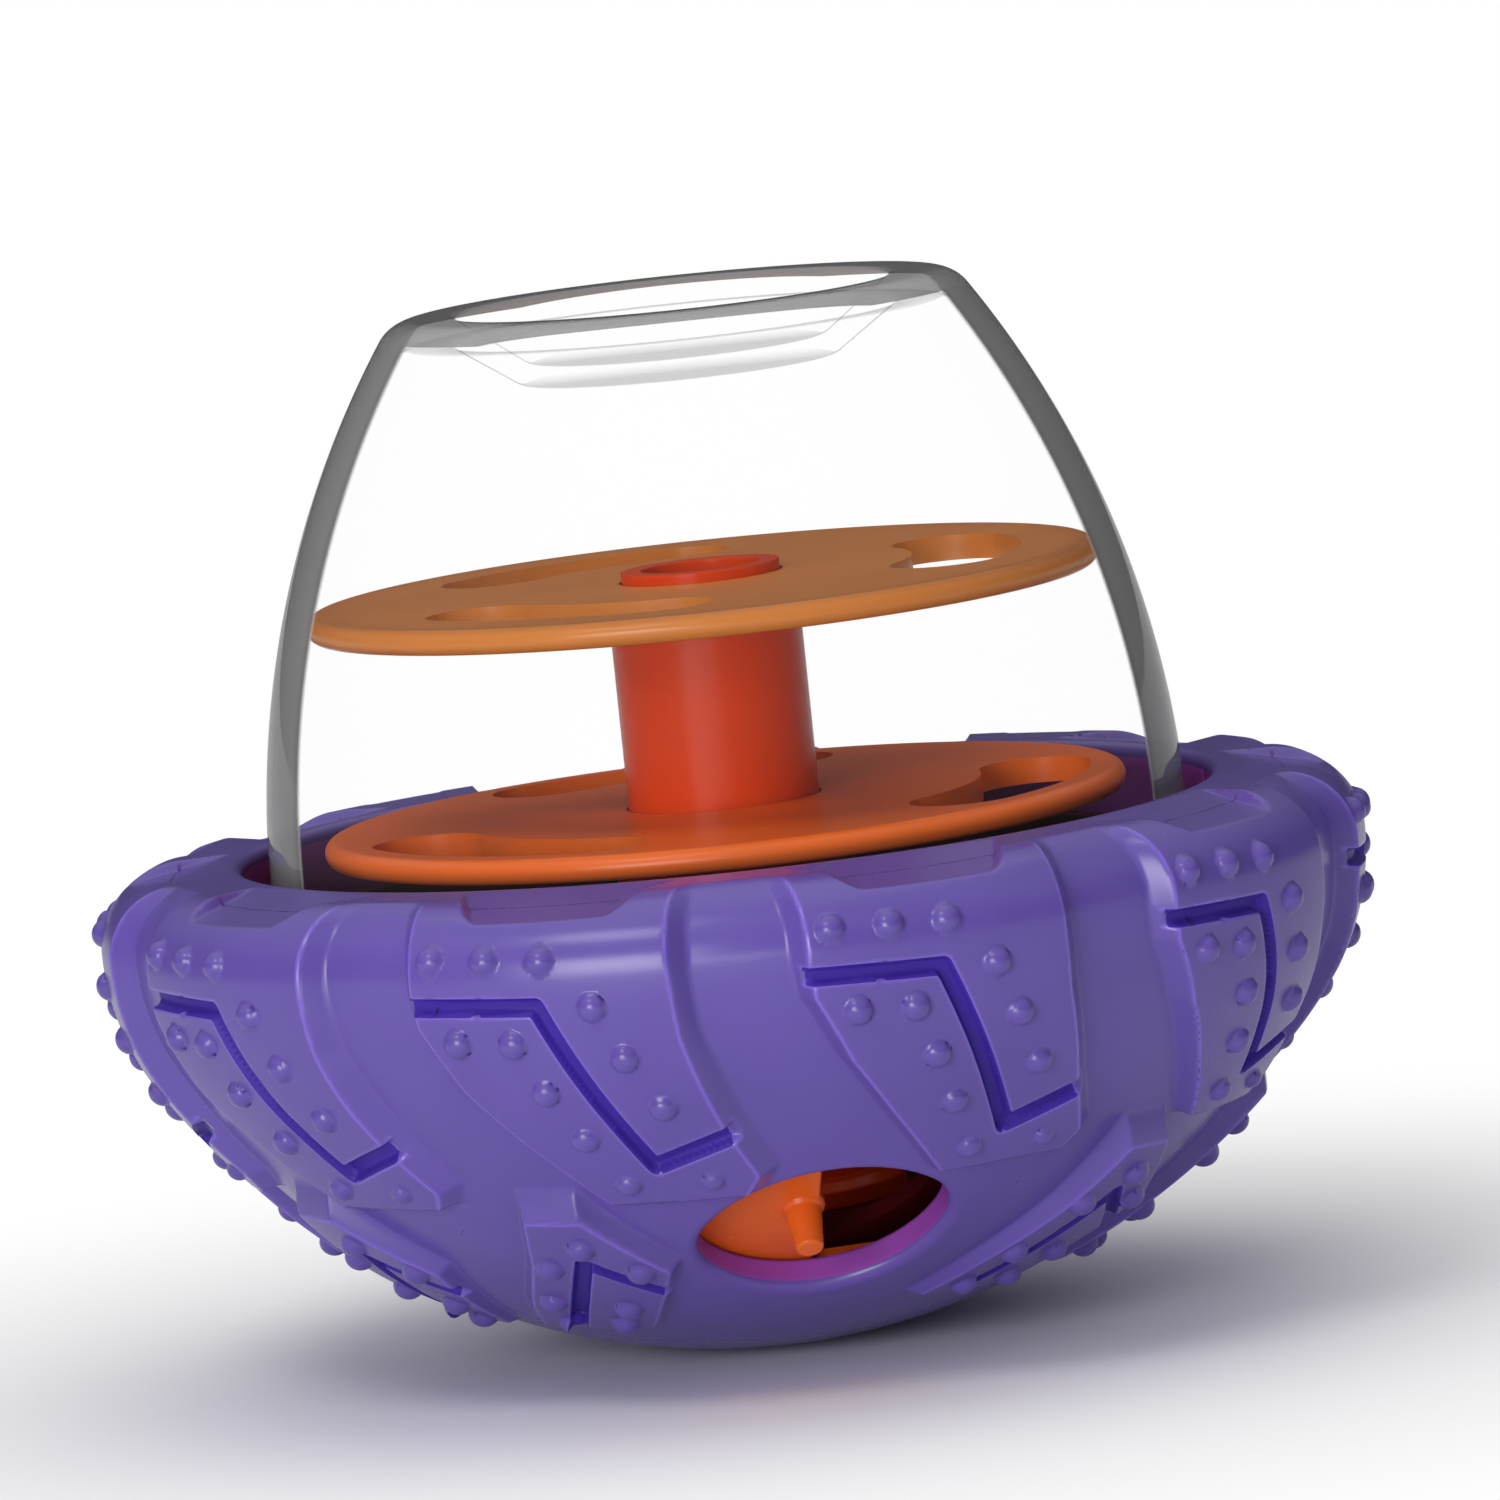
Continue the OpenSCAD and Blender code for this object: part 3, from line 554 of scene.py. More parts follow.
def grid_normals(points):
    """Unit normals at the inner points of a grid, from the crossed diagonals of the four cells round
    each."""
    p = points
    n = np.cross(p[:-1, 1:] - p[1:, :-1], p[1:, 1:] - p[:-1, :-1])
    total = n[1:, 1:] + n[1:, :-1] + n[:-1, 1:] + n[:-1, :-1]
    return total / np.linalg.norm(total, axis=2, keepdims=True)


def border(index):
    """Vertex numbers round a table's border, and the number of steps on each of its four sides."""
    sides = [index[0, :-1], index[:-1, -1], index[-1, :0:-1], index[:0:-1, 0]]
    return np.concatenate(sides), [len(side) for side in sides]


def stitch(fine, fine_sides, coarse, coarse_sides, flip=False):
    """Triangles between two closed loops of four sides each. A fine vertex joins the coarse vertex at
    the same share of its side, and where that changes, one more triangle closes the step."""
    owner, start = [], 0
    for n, m in zip(fine_sides, coarse_sides):
        owner.append(start + np.round(np.arange(n) * m / n).astype(int))
        start += m
    owner = np.concatenate(owner) % start
    own, own_next = coarse[owner], coarse[np.roll(owner, -1)]
    fine_next = np.roll(fine, -1)
    out = np.concatenate([np.c_[fine, own, fine_next], np.c_[fine_next, own, own_next][own != own_next]])
    return out[:, ::-1] if flip else out


def turned(profile, columns):
    """Points of a closed outline in (radius, height) turned about the axis, and their table of vertex
    numbers. A corner on the axis is one point."""
    a = np.linspace(0, 2 * np.pi, columns, endpoint=False)
    ring = np.stack([np.sin(a), -np.cos(a)], -1)
    points, rows, count = [], [], 0
    for r, z in profile:
        width = 1 if r < 1e-6 else columns
        points.append(np.c_[ring[:width] * r, np.full(width, z)])
        rows.append(count + np.arange(columns) % width)
        count += width
    return np.concatenate(points), np.array(rows)


def tidy(quads):
    """Faces as lists, with doubled corners left out and faces of no area dropped."""
    three = [list(dict.fromkeys(q)) for q in quads.tolist()]
    return [f for f in three if len(f) > 2]


def turned_object(name, profile, columns, materials, row_material=None):
    """A closed solid of revolution. The outline runs so that its outside is on its right, and each of
    its steps may have a material of its own."""
    points, rows = turned(profile, columns)
    quads = grid_faces(rows, wrap_rows=True, wrap_columns=True)
    index = None
    if row_material is not None:
        kept = [len(set(q)) > 2 for q in quads.tolist()]
        index = np.repeat(row_material, columns)[kept]
    return make_mesh(name, points, [tidy(quads)], materials, index)


def rounded(corners, radii, steps=7):
    """A closed outline whose corners are rounded by arcs, each cut back to half of its sides."""
    p = np.asarray(corners, float)
    out = []
    for i, r in enumerate(radii):
        before, here, after = p[i - 1], p[i], p[(i + 1) % len(p)]
        if r <= 0:
            out.append([here])
            continue
        back, on = before - here, after - here
        room = min(np.linalg.norm(back), np.linalg.norm(on)) * 0.49
        back, on = back / np.linalg.norm(back), on / np.linalg.norm(on)
        half = np.arccos(np.clip(back @ on, -1, 1)) / 2
        reach = min(r / np.tan(half), room)
        r = reach * np.tan(half)
        centre = here + (back + on) / np.linalg.norm(back + on) * r / np.sin(half)
        start, end = here + back * reach - centre, here + on * reach - centre
        turn = np.pi - 2 * half
        t = np.linspace(0, 1, steps)[:, None]
        out.append(centre + (np.sin((1 - t) * turn) * start + np.sin(t * turn) * end) / np.sin(turn))
    return np.concatenate(out)


# Materials


def add_node(tree, kind, inputs=None, **settings):
    """Add a node, give it its settings, and set each input to a value or link it from a socket."""
    made = tree.nodes.new(kind)
    for key, value in settings.items():
        setattr(made, key, value)
    for key, value in (inputs or {}).items():
        if isinstance(value, bpy.types.NodeSocket):
            tree.links.new(value, made.inputs[key])
        else:
            made.inputs[key].default_value = value
    return made


def set_ramp(ramp, stops):
    """Give a colour ramp its stops, each a place from 0 to 1 and a colour."""
    elements = ramp.color_ramp.elements
    while len(elements) < len(stops):
        elements.new(0.5)
    for element, (place, colour) in zip(elements, stops):
        element.position = place
        element.color = colour


def shade(colour, factor):
    """The same linear colour, lighter or darker."""
    return (*[min(1, c * factor) for c in colour[:3]], 1.0)


def emptied(block):
    """A material or world with its nodes switched on and taken out, and its node tree."""
    block.use_nodes = True
    block.node_tree.nodes.clear()
    return block, block.node_tree


def moulded(
    name, colour, roughness, mottle_mm, grain_mm, grain_depth_mm, contrast, level, edge_mm=0.0, lines=0.0
):
    """A moulded plastic or rubber: a faint mottle in its colour where the melt flowed, a fine grain from
    the tool, and the same mottle in its gloss. Contrast is the mottle's share of the colour, level the
    strength of its reflections, and edge_mm rounds its edges to the light. Lines is how much lighter
    its sharp edges are painted, a painted highlight along them, where a mesh attribute of the piece
    marks them."""
    material, tree = emptied(bpy.data.materials.new(name))
    place = add_node(tree, "ShaderNodeTexCoord").outputs["Object"]
    mottle = {"Vector": place, "Scale": 1 / (mottle_mm * MM), "Detail": 3.0}
    flow = add_node(tree, "ShaderNodeTexNoise", mottle)
    tint = add_node(tree, "ShaderNodeValToRGB", {"Fac": flow.outputs["Fac"]})
    set_ramp(tint, [(0.3, shade(colour, 1 - contrast)), (0.7, shade(colour, 1 + contrast))])
    tone = tint.outputs["Color"]
    # Painted highlight: the colour is made lighter along the sharp edges that the attribute marks
    if lines:
        near = add_node(tree, "ShaderNodeAttribute", attribute_name="edge_painted_highlight").outputs["Fac"]
        light = add_node(tree, "ShaderNodeMapRange", {"Value": near, "To Min": 1.0, "To Max": 1 + lines})
        lighter = {0: tone, "Scale": light.outputs[0]}
        tone = add_node(tree, "ShaderNodeVectorMath", lighter, operation="SCALE").outputs["Vector"]
    gloss = {"Value": flow.outputs["Fac"], "To Min": roughness * 0.85, "To Max": roughness * 1.2}
    gloss = add_node(tree, "ShaderNodeMapRange", gloss)
    grain = {"Vector": place, "Scale": 1 / (grain_mm * MM), "Detail": 2.0}
    grain = add_node(tree, "ShaderNodeTexNoise", grain)
    bump_inputs = {"Height": grain.outputs["Fac"], "Distance": grain_depth_mm * MM, "Strength": 1.0}
    if edge_mm:
        edge = add_node(tree, "ShaderNodeBevel", {"Radius": edge_mm * MM}, samples=6)
        bump_inputs["Normal"] = edge.outputs[0]
    bump = add_node(tree, "ShaderNodeBump", bump_inputs)
    shader = add_node(
        tree,
        "ShaderNodeBsdfPrincipled",
        {"Base Color": tone, "Roughness": gloss.outputs[0], "Normal": bump.outputs[0], "IOR": 1.5},
    )
    shader.inputs["Specular IOR Level"].default_value = level
    add_node(tree, "ShaderNodeOutputMaterial", {"Surface": shader.outputs[0]})
    return material


def steel(name, colour, roughness, brush_mm):
    """Bare or plated steel: fine turning marks round the axis, as a wave in roughness and bump."""
    material, tree = emptied(bpy.data.materials.new(name))
    place = add_node(tree, "ShaderNodeTexCoord").outputs["Object"]
    marks = add_node(
        tree,
        "ShaderNodeTexWave",
        {"Vector": place, "Scale": 1 / (brush_mm * MM * 20), "Distortion": 0.6, "Detail": 2.0},
        wave_type="RINGS",
        rings_direction="Z",
    )
    gloss = {"Value": marks.outputs["Fac"], "To Min": roughness * 0.8, "To Max": roughness * 1.3}
    gloss = add_node(tree, "ShaderNodeMapRange", gloss)
    bump = {"Height": marks.outputs["Fac"], "Distance": 0.01 * MM, "Strength": 0.4}
    bump = add_node(tree, "ShaderNodeBump", bump)
    tint = add_node(tree, "ShaderNodeValToRGB", {"Fac": marks.outputs["Fac"]})
    set_ramp(tint, [(0.2, shade(colour, 0.9)), (0.8, shade(colour, 1.05))])
    finish = {"Base Color": tint.outputs["Color"], "Metallic": 1.0}
    finish.update({"Roughness": gloss.outputs[0], "Normal": bump.outputs[0]})
    shader = add_node(tree, "ShaderNodeBsdfPrincipled", finish)
    add_node(tree, "ShaderNodeOutputMaterial", {"Surface": shader.outputs[0]})
    return material


def clear_plastic(name, edge, band, body, rim_alpha):
    """Clear moulded plastic: nearly nothing square on, and grey where the eye looks along the wall and
    through much of it: a painted stand-in for the surroundings refracted and reflected in the wall.
    Layer Weight gives the angle, and band is where the grey starts."""
    material, tree = emptied(bpy.data.materials.new(name))
    place = add_node(tree, "ShaderNodeTexCoord").outputs["Object"]
    angle = add_node(tree, "ShaderNodeLayerWeight", {"Blend": 0.5}).outputs["Facing"]
    flow = add_node(tree, "ShaderNodeTexNoise", {"Vector": place, "Scale": 1 / (30 * MM), "Detail": 1.0})
    tint = add_node(tree, "ShaderNodeValToRGB", {"Fac": angle})
    greys = [(0.0, linear("#FFFFFF")), (band - 0.02, linear("#F4F4F5")), (band, shade(edge, 0.75))]
    greys += [(band + 0.03, edge), (0.9, edge), (0.95, shade(edge, 0.35))]
    set_ramp(tint, greys)
    solid = add_node(tree, "ShaderNodeValToRGB", {"Fac": angle})
    grey = [(0.0, body), (band - 0.02, body * 2.2), (band, rim_alpha), (1.0, rim_alpha)]
    set_ramp(solid, [(at, (value, value, value, 1.0)) for at, value in grey])
    gloss = {"Value": flow.outputs["Fac"], "To Min": 0.02, "To Max": 0.05}
    gloss = add_node(tree, "ShaderNodeMapRange", gloss)
    finish = {"Base Color": tint.outputs["Color"], "Roughness": gloss.outputs[0]}
    finish.update({"Alpha": solid.outputs["Color"], "IOR": 1.49})
    shader = add_node(tree, "ShaderNodeBsdfPrincipled", finish)
    shader.inputs["Specular IOR Level"].default_value = 0.12
    add_node(tree, "ShaderNodeOutputMaterial", {"Surface": shader.outputs[0]})
    return material


def place_on(piece, body, slot, *nodes):
    """The piece rides on its body and stands for its CAD nodes; the slot is not used."""
    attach(piece, body)
    if nodes:
        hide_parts(*nodes)


# Fields


def angle_property(name, description, degrees):
    """A field for an angle whose default is given in degrees."""
    return FloatProperty(
        name=name, description=description, default=np.radians(degrees), subtype="ANGLE", unit="ROTATION"
    )


def power_property(name, description, watts):
    """A field for the power of a light."""
    return FloatProperty(
        name=name, description=description, default=watts, min=0, max=50, subtype="POWER", unit="POWER"
    )


class FEEDER_PG_tread(bpy.types.PropertyGroup):
    """Tread shell."""

    rows: IntProperty(
        name="Rows", description="Cells from the foot to the rim", default=276, min=120, max=300
    )
    cell_angle: FloatProperty(
        name="Cell angle", description="Degrees of azimuth that a cell takes", default=0.24, min=0.2, max=0.6
    )
    nub_height: FloatProperty(
        name="Nub height", description="Height of a nub, in mm", default=1.3, min=0.6, max=1.6
    )
    groove_depth: FloatProperty(
        name="Groove depth", description="Depth of an upper block's groove in mm", default=1.5, min=0.8, max=2
    )
    rubber: colour_property("Rubber", "Colour of the tread rubber", "#5F4C9E")
    # Painted shade: the groove colour is darker than the rubber and stands for the shade deep in the grooves
    groove: colour_property("Groove", "Colour deep in the grooves", "#3E2696")
    # Painted reflected light: the thin edge colour is the tread purple with the hopper's red bounce light
    # mixed in
    thin: colour_property("Thin edge", "Colour of the thin inner edges", "#8F43A6")


class FEEDER_PG_inside(bpy.types.PropertyGroup):
    """Plastic and metal pieces inside."""

    # Painted shade: the hopper is orange plastic, and this dark red stands for the shade inside the shell
    hopper: colour_property("Hopper", "Colour of the hopper bowl", "#360307")
    gate: colour_property("Gate", "Colour of the gate ring", "#E2601E")
    post: colour_property("Post", "Colour of the centre post", "#D23E04")
    lower_tray: colour_property("Lower tray", "Colour of the lower tray", "#E36722")
    # Painted shade: the upper tray is the same orange plastic as the lower, browner and darker as seen
    # through the dome
    upper_tray: colour_property("Upper tray", "Colour of the upper tray", "#C4752F")
    cover: colour_property("Weight cover", "Colour of the cover under the weight", "#3A3A3E")
    steel: colour_property("Steel", "Colour of the weight", "#8C8F94")
    zinc: colour_property("Zinc", "Colour of the screws", "#B9BCC0")
    seal: colour_property("Seal", "Colour of the silicone seal", "#E9E7E2")


class FEEDER_PG_dome(bpy.types.PropertyGroup):
    """Clear dome."""

    columns: IntProperty(name="Columns", description="Cells round the dome", default=180, min=96, max=480)
    edge: colour_property("Edge", "Grey of the wall seen edge on", "#838384")
    haze: FloatProperty(
        name="Haze", description="How much of the wall shows square on", default=0.006, min=0, max=0.3
    )


class FEEDER_PG_stage(bpy.types.PropertyGroup):
    """Camera and light."""

    distance: FloatProperty(
        name="Distance",
        description="From camera to aim",
        default=1.48,
        min=0.5,
        max=4,
        subtype="DISTANCE",
        unit="LENGTH",
    )
    lens: FloatProperty(name="Lens", description="Focal length, in mm", default=301, min=50, max=600)
    elevation: angle_property("Elevation", "Camera over the horizon", 6.2)
    roll: angle_property("Roll", "Camera's roll", 5.95)
    world: FloatProperty(
        name="Level light", description="Strength of the even light", default=0.6, min=0, max=1
    )
    key: power_property("Front light", "Power of the light beside the camera", 7.5)
    top: power_property("Top light", "Power of the light above", 2.0)
    side: power_property("High light", "Power of the light over the camera", 2.1)
    low: power_property("Low light", "Power of the strip near the floor", 1.6)


def settings():
    """The feeder's fields on the current scene."""
    scene = bpy.context.scene
    return scene.feeder_tread, scene.feeder_inside, scene.feeder_dome, scene.feeder_stage


# Tread shell


def outlet_axes(azimuth):
    """Across, up the slope and outwards at an outlet, as three unit vectors."""
    a, t = np.radians(azimuth), np.radians(OUTLET_THETA)
    across = np.array([np.cos(a), np.sin(a), 0])
    outwards = np.array([np.sin(a) * np.sin(t), -np.cos(a) * np.sin(t), -np.cos(t)])
    return across, np.cross(outwards, across), outwards


def outlet_reach(direction, grow):
    """Distance from the outlet's middle to its outline along a direction, in radians: an oval of four
    tangent arcs, grown evenly. A side arc holds up to where it meets the end arc."""
    w, h = OUTLET_SIZE
    end_r = OUTLET_END_SHARE * h
    a, b = w / 2 - end_r, h / 2 - end_r
    c = (a * a - b * b) / (2 * b)
    side_r = c + h / 2
    meet = a * (side_r + grow) / (side_r - end_r)
    x, y = np.abs(np.cos(direction)), np.abs(np.sin(direction))
    side = -c * y + np.sqrt((c * y) ** 2 + (side_r + grow) ** 2 - c**2)
    end = a * x + np.sqrt(np.maximum((a * x) ** 2 + (end_r + grow) ** 2 - a**2, 0))
    return np.where(side * x <= meet, side, end)


def meet_outlet(skin, centre, local, grow):
    """Where the outlet's outline, grown by some millimetres, meets the skin: across, up and outwards
    from the sphere's centre, and azimuth and distance on the skin. Each point goes in along the
    outlet's axis until it is under the skin, and the crossing is found by straight interpolation."""
    across, up, out = outlet_axes(centre)
    reach = outlet_reach(local, grow)
    way = local + np.radians(OUTLET_TURN)
    u, v = reach * np.cos(way), reach * np.sin(way)
    highest, lowest, steps = 13, -1, 240
    deep = np.linspace(highest, lowest, steps)[:, None] + np.sqrt(SPHERE_R**2 - u**2 - v**2)
    line = u[None, :, None] * across + v[None, :, None] * up + deep[..., None] * out
    azimuth = np.degrees(np.arctan2(line[..., 0], -line[..., 1]))
    azimuth += 360 * np.round((centre - azimuth) / 360)
    theta = np.arctan2(np.hypot(line[..., 0], line[..., 1]), -line[..., 2])
    s = (theta - np.radians(FOOT_THETA)) * SPHERE_R
    over = np.linalg.norm(line, axis=2) - SPHERE_R - skin.relief(azimuth, s)[0]
    first = np.maximum((over < 1e-6).argmax(0), 1)
    column = np.arange(len(u))
    o0, o1 = over[first - 1, column], over[first, column]
    t = o0 / (o0 - o1)
    found = [x[first - 1, column] * (1 - t) + x[first, column] * t for x in (deep, azimuth, s)]
    return u, v, *found


def outlet_rings(skin, centre, azimuth, s, points):
    """Rings from a loop on the skin to the outlet's inner end: even steps on the skin, a rounded lip
    of a quarter circle, and the wall along the outlet's axis down to the inner sphere."""
    across, up, out = outlet_axes(centre)
    p = points - [0, 0, SPHERE_Z]
    local = np.arctan2(p @ up, p @ across) - np.radians(OUTLET_TURN)
    # Each ring keeps its mask of painted groove shade and its share of painted highlight
    rings, groove_shade_mask, lines = [], [], []
    _, _, _, lip_azimuth, lip_s = meet_outlet(skin, centre, local, OUTLET_LIP)
    mm = np.radians(1) * skin.at(skin.base[:, 0], s)
    # Points move to creases by a share of a ring's step and never by more than most, but not on the
    # last rings before the lip
    share, most, last = 0.4, 0.12, 0.9
    reach = share * np.hypot((lip_azimuth - azimuth) * mm, lip_s - s) / SKIN_RINGS
    reach = np.minimum(reach, most)
    for t in np.linspace(0, 1, SKIN_RINGS + 1)[1:-1]:
        a, d = azimuth + (lip_azimuth - azimuth) * t, s + (lip_s - s) * t
        if t < last:
            a, d = skin.on_creases(a, d, reach, reach)
        h, cut, _, line = skin.relief(a, d)
        rings.append(skin.point(a, d, h))
        groove_shade_mask.append(cut)
        lines.append(line)
    for turn in np.linspace(0, np.pi / 2, LIP_RINGS):
        u, v, depth, _, _ = meet_outlet(skin, centre, local, OUTLET_LIP * (1 - np.sin(turn)))
        depth = depth - OUTLET_LIP * (1 - np.cos(turn))
        rings.append(u[:, None] * across + v[:, None] * up + depth[:, None] * out + [0, 0, SPHERE_Z])
        groove_shade_mask.append(np.zeros(len(u), bool))
    end = np.sqrt(INNER_R**2 - u**2 - v**2)
    for t in np.linspace(0, 1, WALL_RINGS + 1)[1:]:
        deep = depth + (end - depth) * t
        rings.append(u[:, None] * across + v[:, None] * up + deep[:, None] * out + [0, 0, SPHERE_Z])
        groove_shade_mask.append(np.zeros(len(u), bool))
    lines += [np.zeros(len(u))] * (len(rings) - len(lines))
    return np.array(rings), np.array(groove_shade_mask), np.array(lines)


def inner_rows():
    """Outline of the shell's inner skin, coarse: sphere, belly, shoulder, and the lip's outer side, end
    and inner side."""
    end = np.arcsin(INNER_BELLY_R / INNER_R)
    sphere = arc(0, SPHERE_Z, INNER_R, np.radians(FOOT_THETA), end, COARSE_ROWS + 1)
    top = np.pi / 2 + np.arcsin((INNER_TOP - BELLY_Z) / INNER_SHOULDER_R)
    shoulder = arc(INNER_BELLY_R - INNER_SHOULDER_R, BELLY_Z, INNER_SHOULDER_R, np.pi / 2, top, 4)
    lip = [(LIP_OUTER_R, INNER_TOP), (LIP_OUTER_R, LIP_Z), (LIP_R, LIP_Z), (LIP_R, RIM_Z - RIM_ROUND - 0.4)]
    return np.concatenate([sphere, shoulder, lip])


def outlet_window(skin, outlet, start, rows, cell):
    """First and last rows and columns of the cells left out round an outlet: those that its lip covers,
    and a margin all round."""
    around = np.linspace(0, 2 * np.pi, 180, endpoint=False)
    _, _, _, azimuth, s = meet_outlet(skin, outlet, around, OUTLET_LIP)
    spread = np.array([-BORDER_CELLS, BORDER_CELLS])
    j0, j1 = (np.array([azimuth.min(), azimuth.max()]) - start) / cell + spread
    i0, i1 = np.array([s.min(), s.max()]) / skin.length * rows + spread
    return int(i0), int(i1) + 1, int(j0), int(j1) + 1


def border_normals(skin, index, start, end, rows, cell):
    """Vertex numbers on a sector's four borders and the whole shell's normals there, so that no seam
    shows: the sphere's at the foot, straight inwards at the lip, and at the sides those of a strip of
    skin that runs over the border."""
    a, t = np.radians(np.linspace(start, end, index.shape[1])), np.radians(FOOT_THETA)
    at = [index[0], index[-1]]
    values = [
        np.c_[np.sin(a) * np.sin(t), -np.cos(a) * np.sin(t), np.full(len(a), -np.cos(t))],
        np.c_[-np.sin(a), np.cos(a), np.zeros(len(a))],
    ]
    for column, middle in ((0, start), (-1, end)):
        near, along = np.meshgrid(middle + cell * np.array([-1, 0, 1]), np.linspace(0, skin.length, rows + 1))
        strip = skin.point(near, along, skin.relief(near, along)[0])
        at.append(index[1:-1, column])
        values.append(grid_normals(strip)[:, 0])
    return np.concatenate(at), np.concatenate(values)


def tread_piece(skin, name, start, end, rows, cell, materials, outlet=None):
    """One closed sector of the tread shell: the fine outer skin, the coarse inner skin, and the four
    borders between them. A sector with an outlet has a window of cells left out of both skins, and
    rings that run from one window to the other. Its faces take the first material, the second, with
    the painted groove shade, where a groove is cut, and the third, the purple with the painted red
    bounce light, on the inner skin and down an outlet's wall."""
    columns = round((end - start) / cell)
    azimuth, s = np.meshgrid(np.linspace(start, end, columns + 1), np.linspace(0, skin.length, rows + 1))
    width = np.radians(cell) * skin.at(skin.base[:, 0], s)
    inside = (slice(BORDER_CELLS, -BORDER_CELLS), slice(BORDER_CELLS, -BORDER_CELLS))
    reach = CREASE_REACH * width[inside], CREASE_REACH * skin.length / rows
    azimuth[inside], s[inside] = skin.on_creases(azimuth[inside], s[inside], *reach)
    height, groove_shade_mask, _, line = skin.relief(azimuth, s)
    outer = skin.point(azimuth, s, height)
    index = np.arange(outer[..., 0].size).reshape(rows + 1, columns + 1)
    points, marks, heights = [outer.reshape(-1, 3)], [groove_shade_mask.ravel()], [height.ravel()]
    count = index.size

    profile = inner_rows()
    steps = round((end - start) / COARSE_CELL)
    a = np.radians(np.linspace(start, end, steps + 1))
    r, z = profile[:, :1], profile[:, 1:]
    inner = np.stack([r * np.sin(a), -r * np.cos(a), np.repeat(z, steps + 1, 1)], -1)
    inner_index = count + np.arange(inner[..., 0].size).reshape(inner.shape[:2])
    count += inner_index.size
    points.append(inner.reshape(-1, 3))
    marks.append(np.zeros(inner_index.size, bool))
    # Painted highlight shares: along block and groove edges on the outer skin, none on the inner skin
    lines = [line.ravel(), np.zeros(inner_index.size)]

    kept = np.ones((rows, columns), bool)
    inner_kept = np.ones(np.array(inner_index.shape) - 1, bool)
    ring_faces = []
    if outlet is not None:
        i0, i1, j0, j1 = outlet_window(skin, outlet, start, rows, cell)
        kept[i0:i1, j0:j1] = False
        loop, sides = border(index[i0 : i1 + 1, j0 : j1 + 1])
        flat = [x.ravel()[loop] for x in (azimuth, s)]
        rings, ring_groove_shade, ring_highlight = outlet_rings(skin, outlet, *flat, points[0][loop])
        ring_index = count + np.arange(rings[..., 0].size).reshape(rings.shape[:2])
        count += ring_index.size
        points.append(rings.reshape(-1, 3))
        marks.append(ring_groove_shade.ravel())
        lines.append(ring_highlight.ravel())
        ring_faces.append(grid_faces(np.vstack([loop, ring_index]), wrap_columns=True))
        low, high = np.degrees(s[[i0, i1], j0] / SPHERE_R)
        step = (np.degrees(np.arcsin(INNER_BELLY_R / INNER_R)) - FOOT_THETA) / COARSE_ROWS
        ci0, ci1 = int(low / step), int(high / step) + 1
        cj0, cj1 = int(j0 * cell / COARSE_CELL), int(j1 * cell / COARSE_CELL) + 1
        inner_kept[ci0:ci1, cj0:cj1] = False
        coarse, coarse_sides = border(inner_index[ci0 : ci1 + 1, cj0 : cj1 + 1])
        ring_faces.append(stitch(ring_index[-1], sides, coarse, coarse_sides, flip=True))

    quads = grid_faces(index)[kept.ravel()]
    fine = split_faces(quads, np.concatenate(heights))
    back = grid_faces(inner_index)[inner_kept.ravel()][:, ::-1]
    outer_loop, outer_sides = border(index)
    inner_loop, inner_sides = border(inner_index)
    edge = stitch(outer_loop, outer_sides, inner_loop, inner_sides)
    faces = [fine, back, edge, *ring_faces]
    marks = np.concatenate(marks)
    # Faces whose corners all lie in a groove take the material with the painted groove shade
    kinds = [marks[block].all(1).astype(int) for block in faces]
    # The third material carries the painted red bounce light on the inner skin and the outlet walls
    thin = 2
    kinds[1][:] = thin
    if outlet is not None:
        kinds[3][-(WALL_RINGS + 1) * len(loop) :] = thin
        kinds[4][:] = thin

    normals = border_normals(skin, index, start, end, rows, cell)
    piece = make_mesh(name, np.concatenate(points), faces, materials, np.concatenate(kinds), normals)
    # Share of the painted highlight line at each point
    share = piece.data.attributes.new("edge_painted_highlight", "FLOAT", "POINT")
    share.data.foreach_set("value", np.concatenate(lines).astype(np.float32))
    return piece


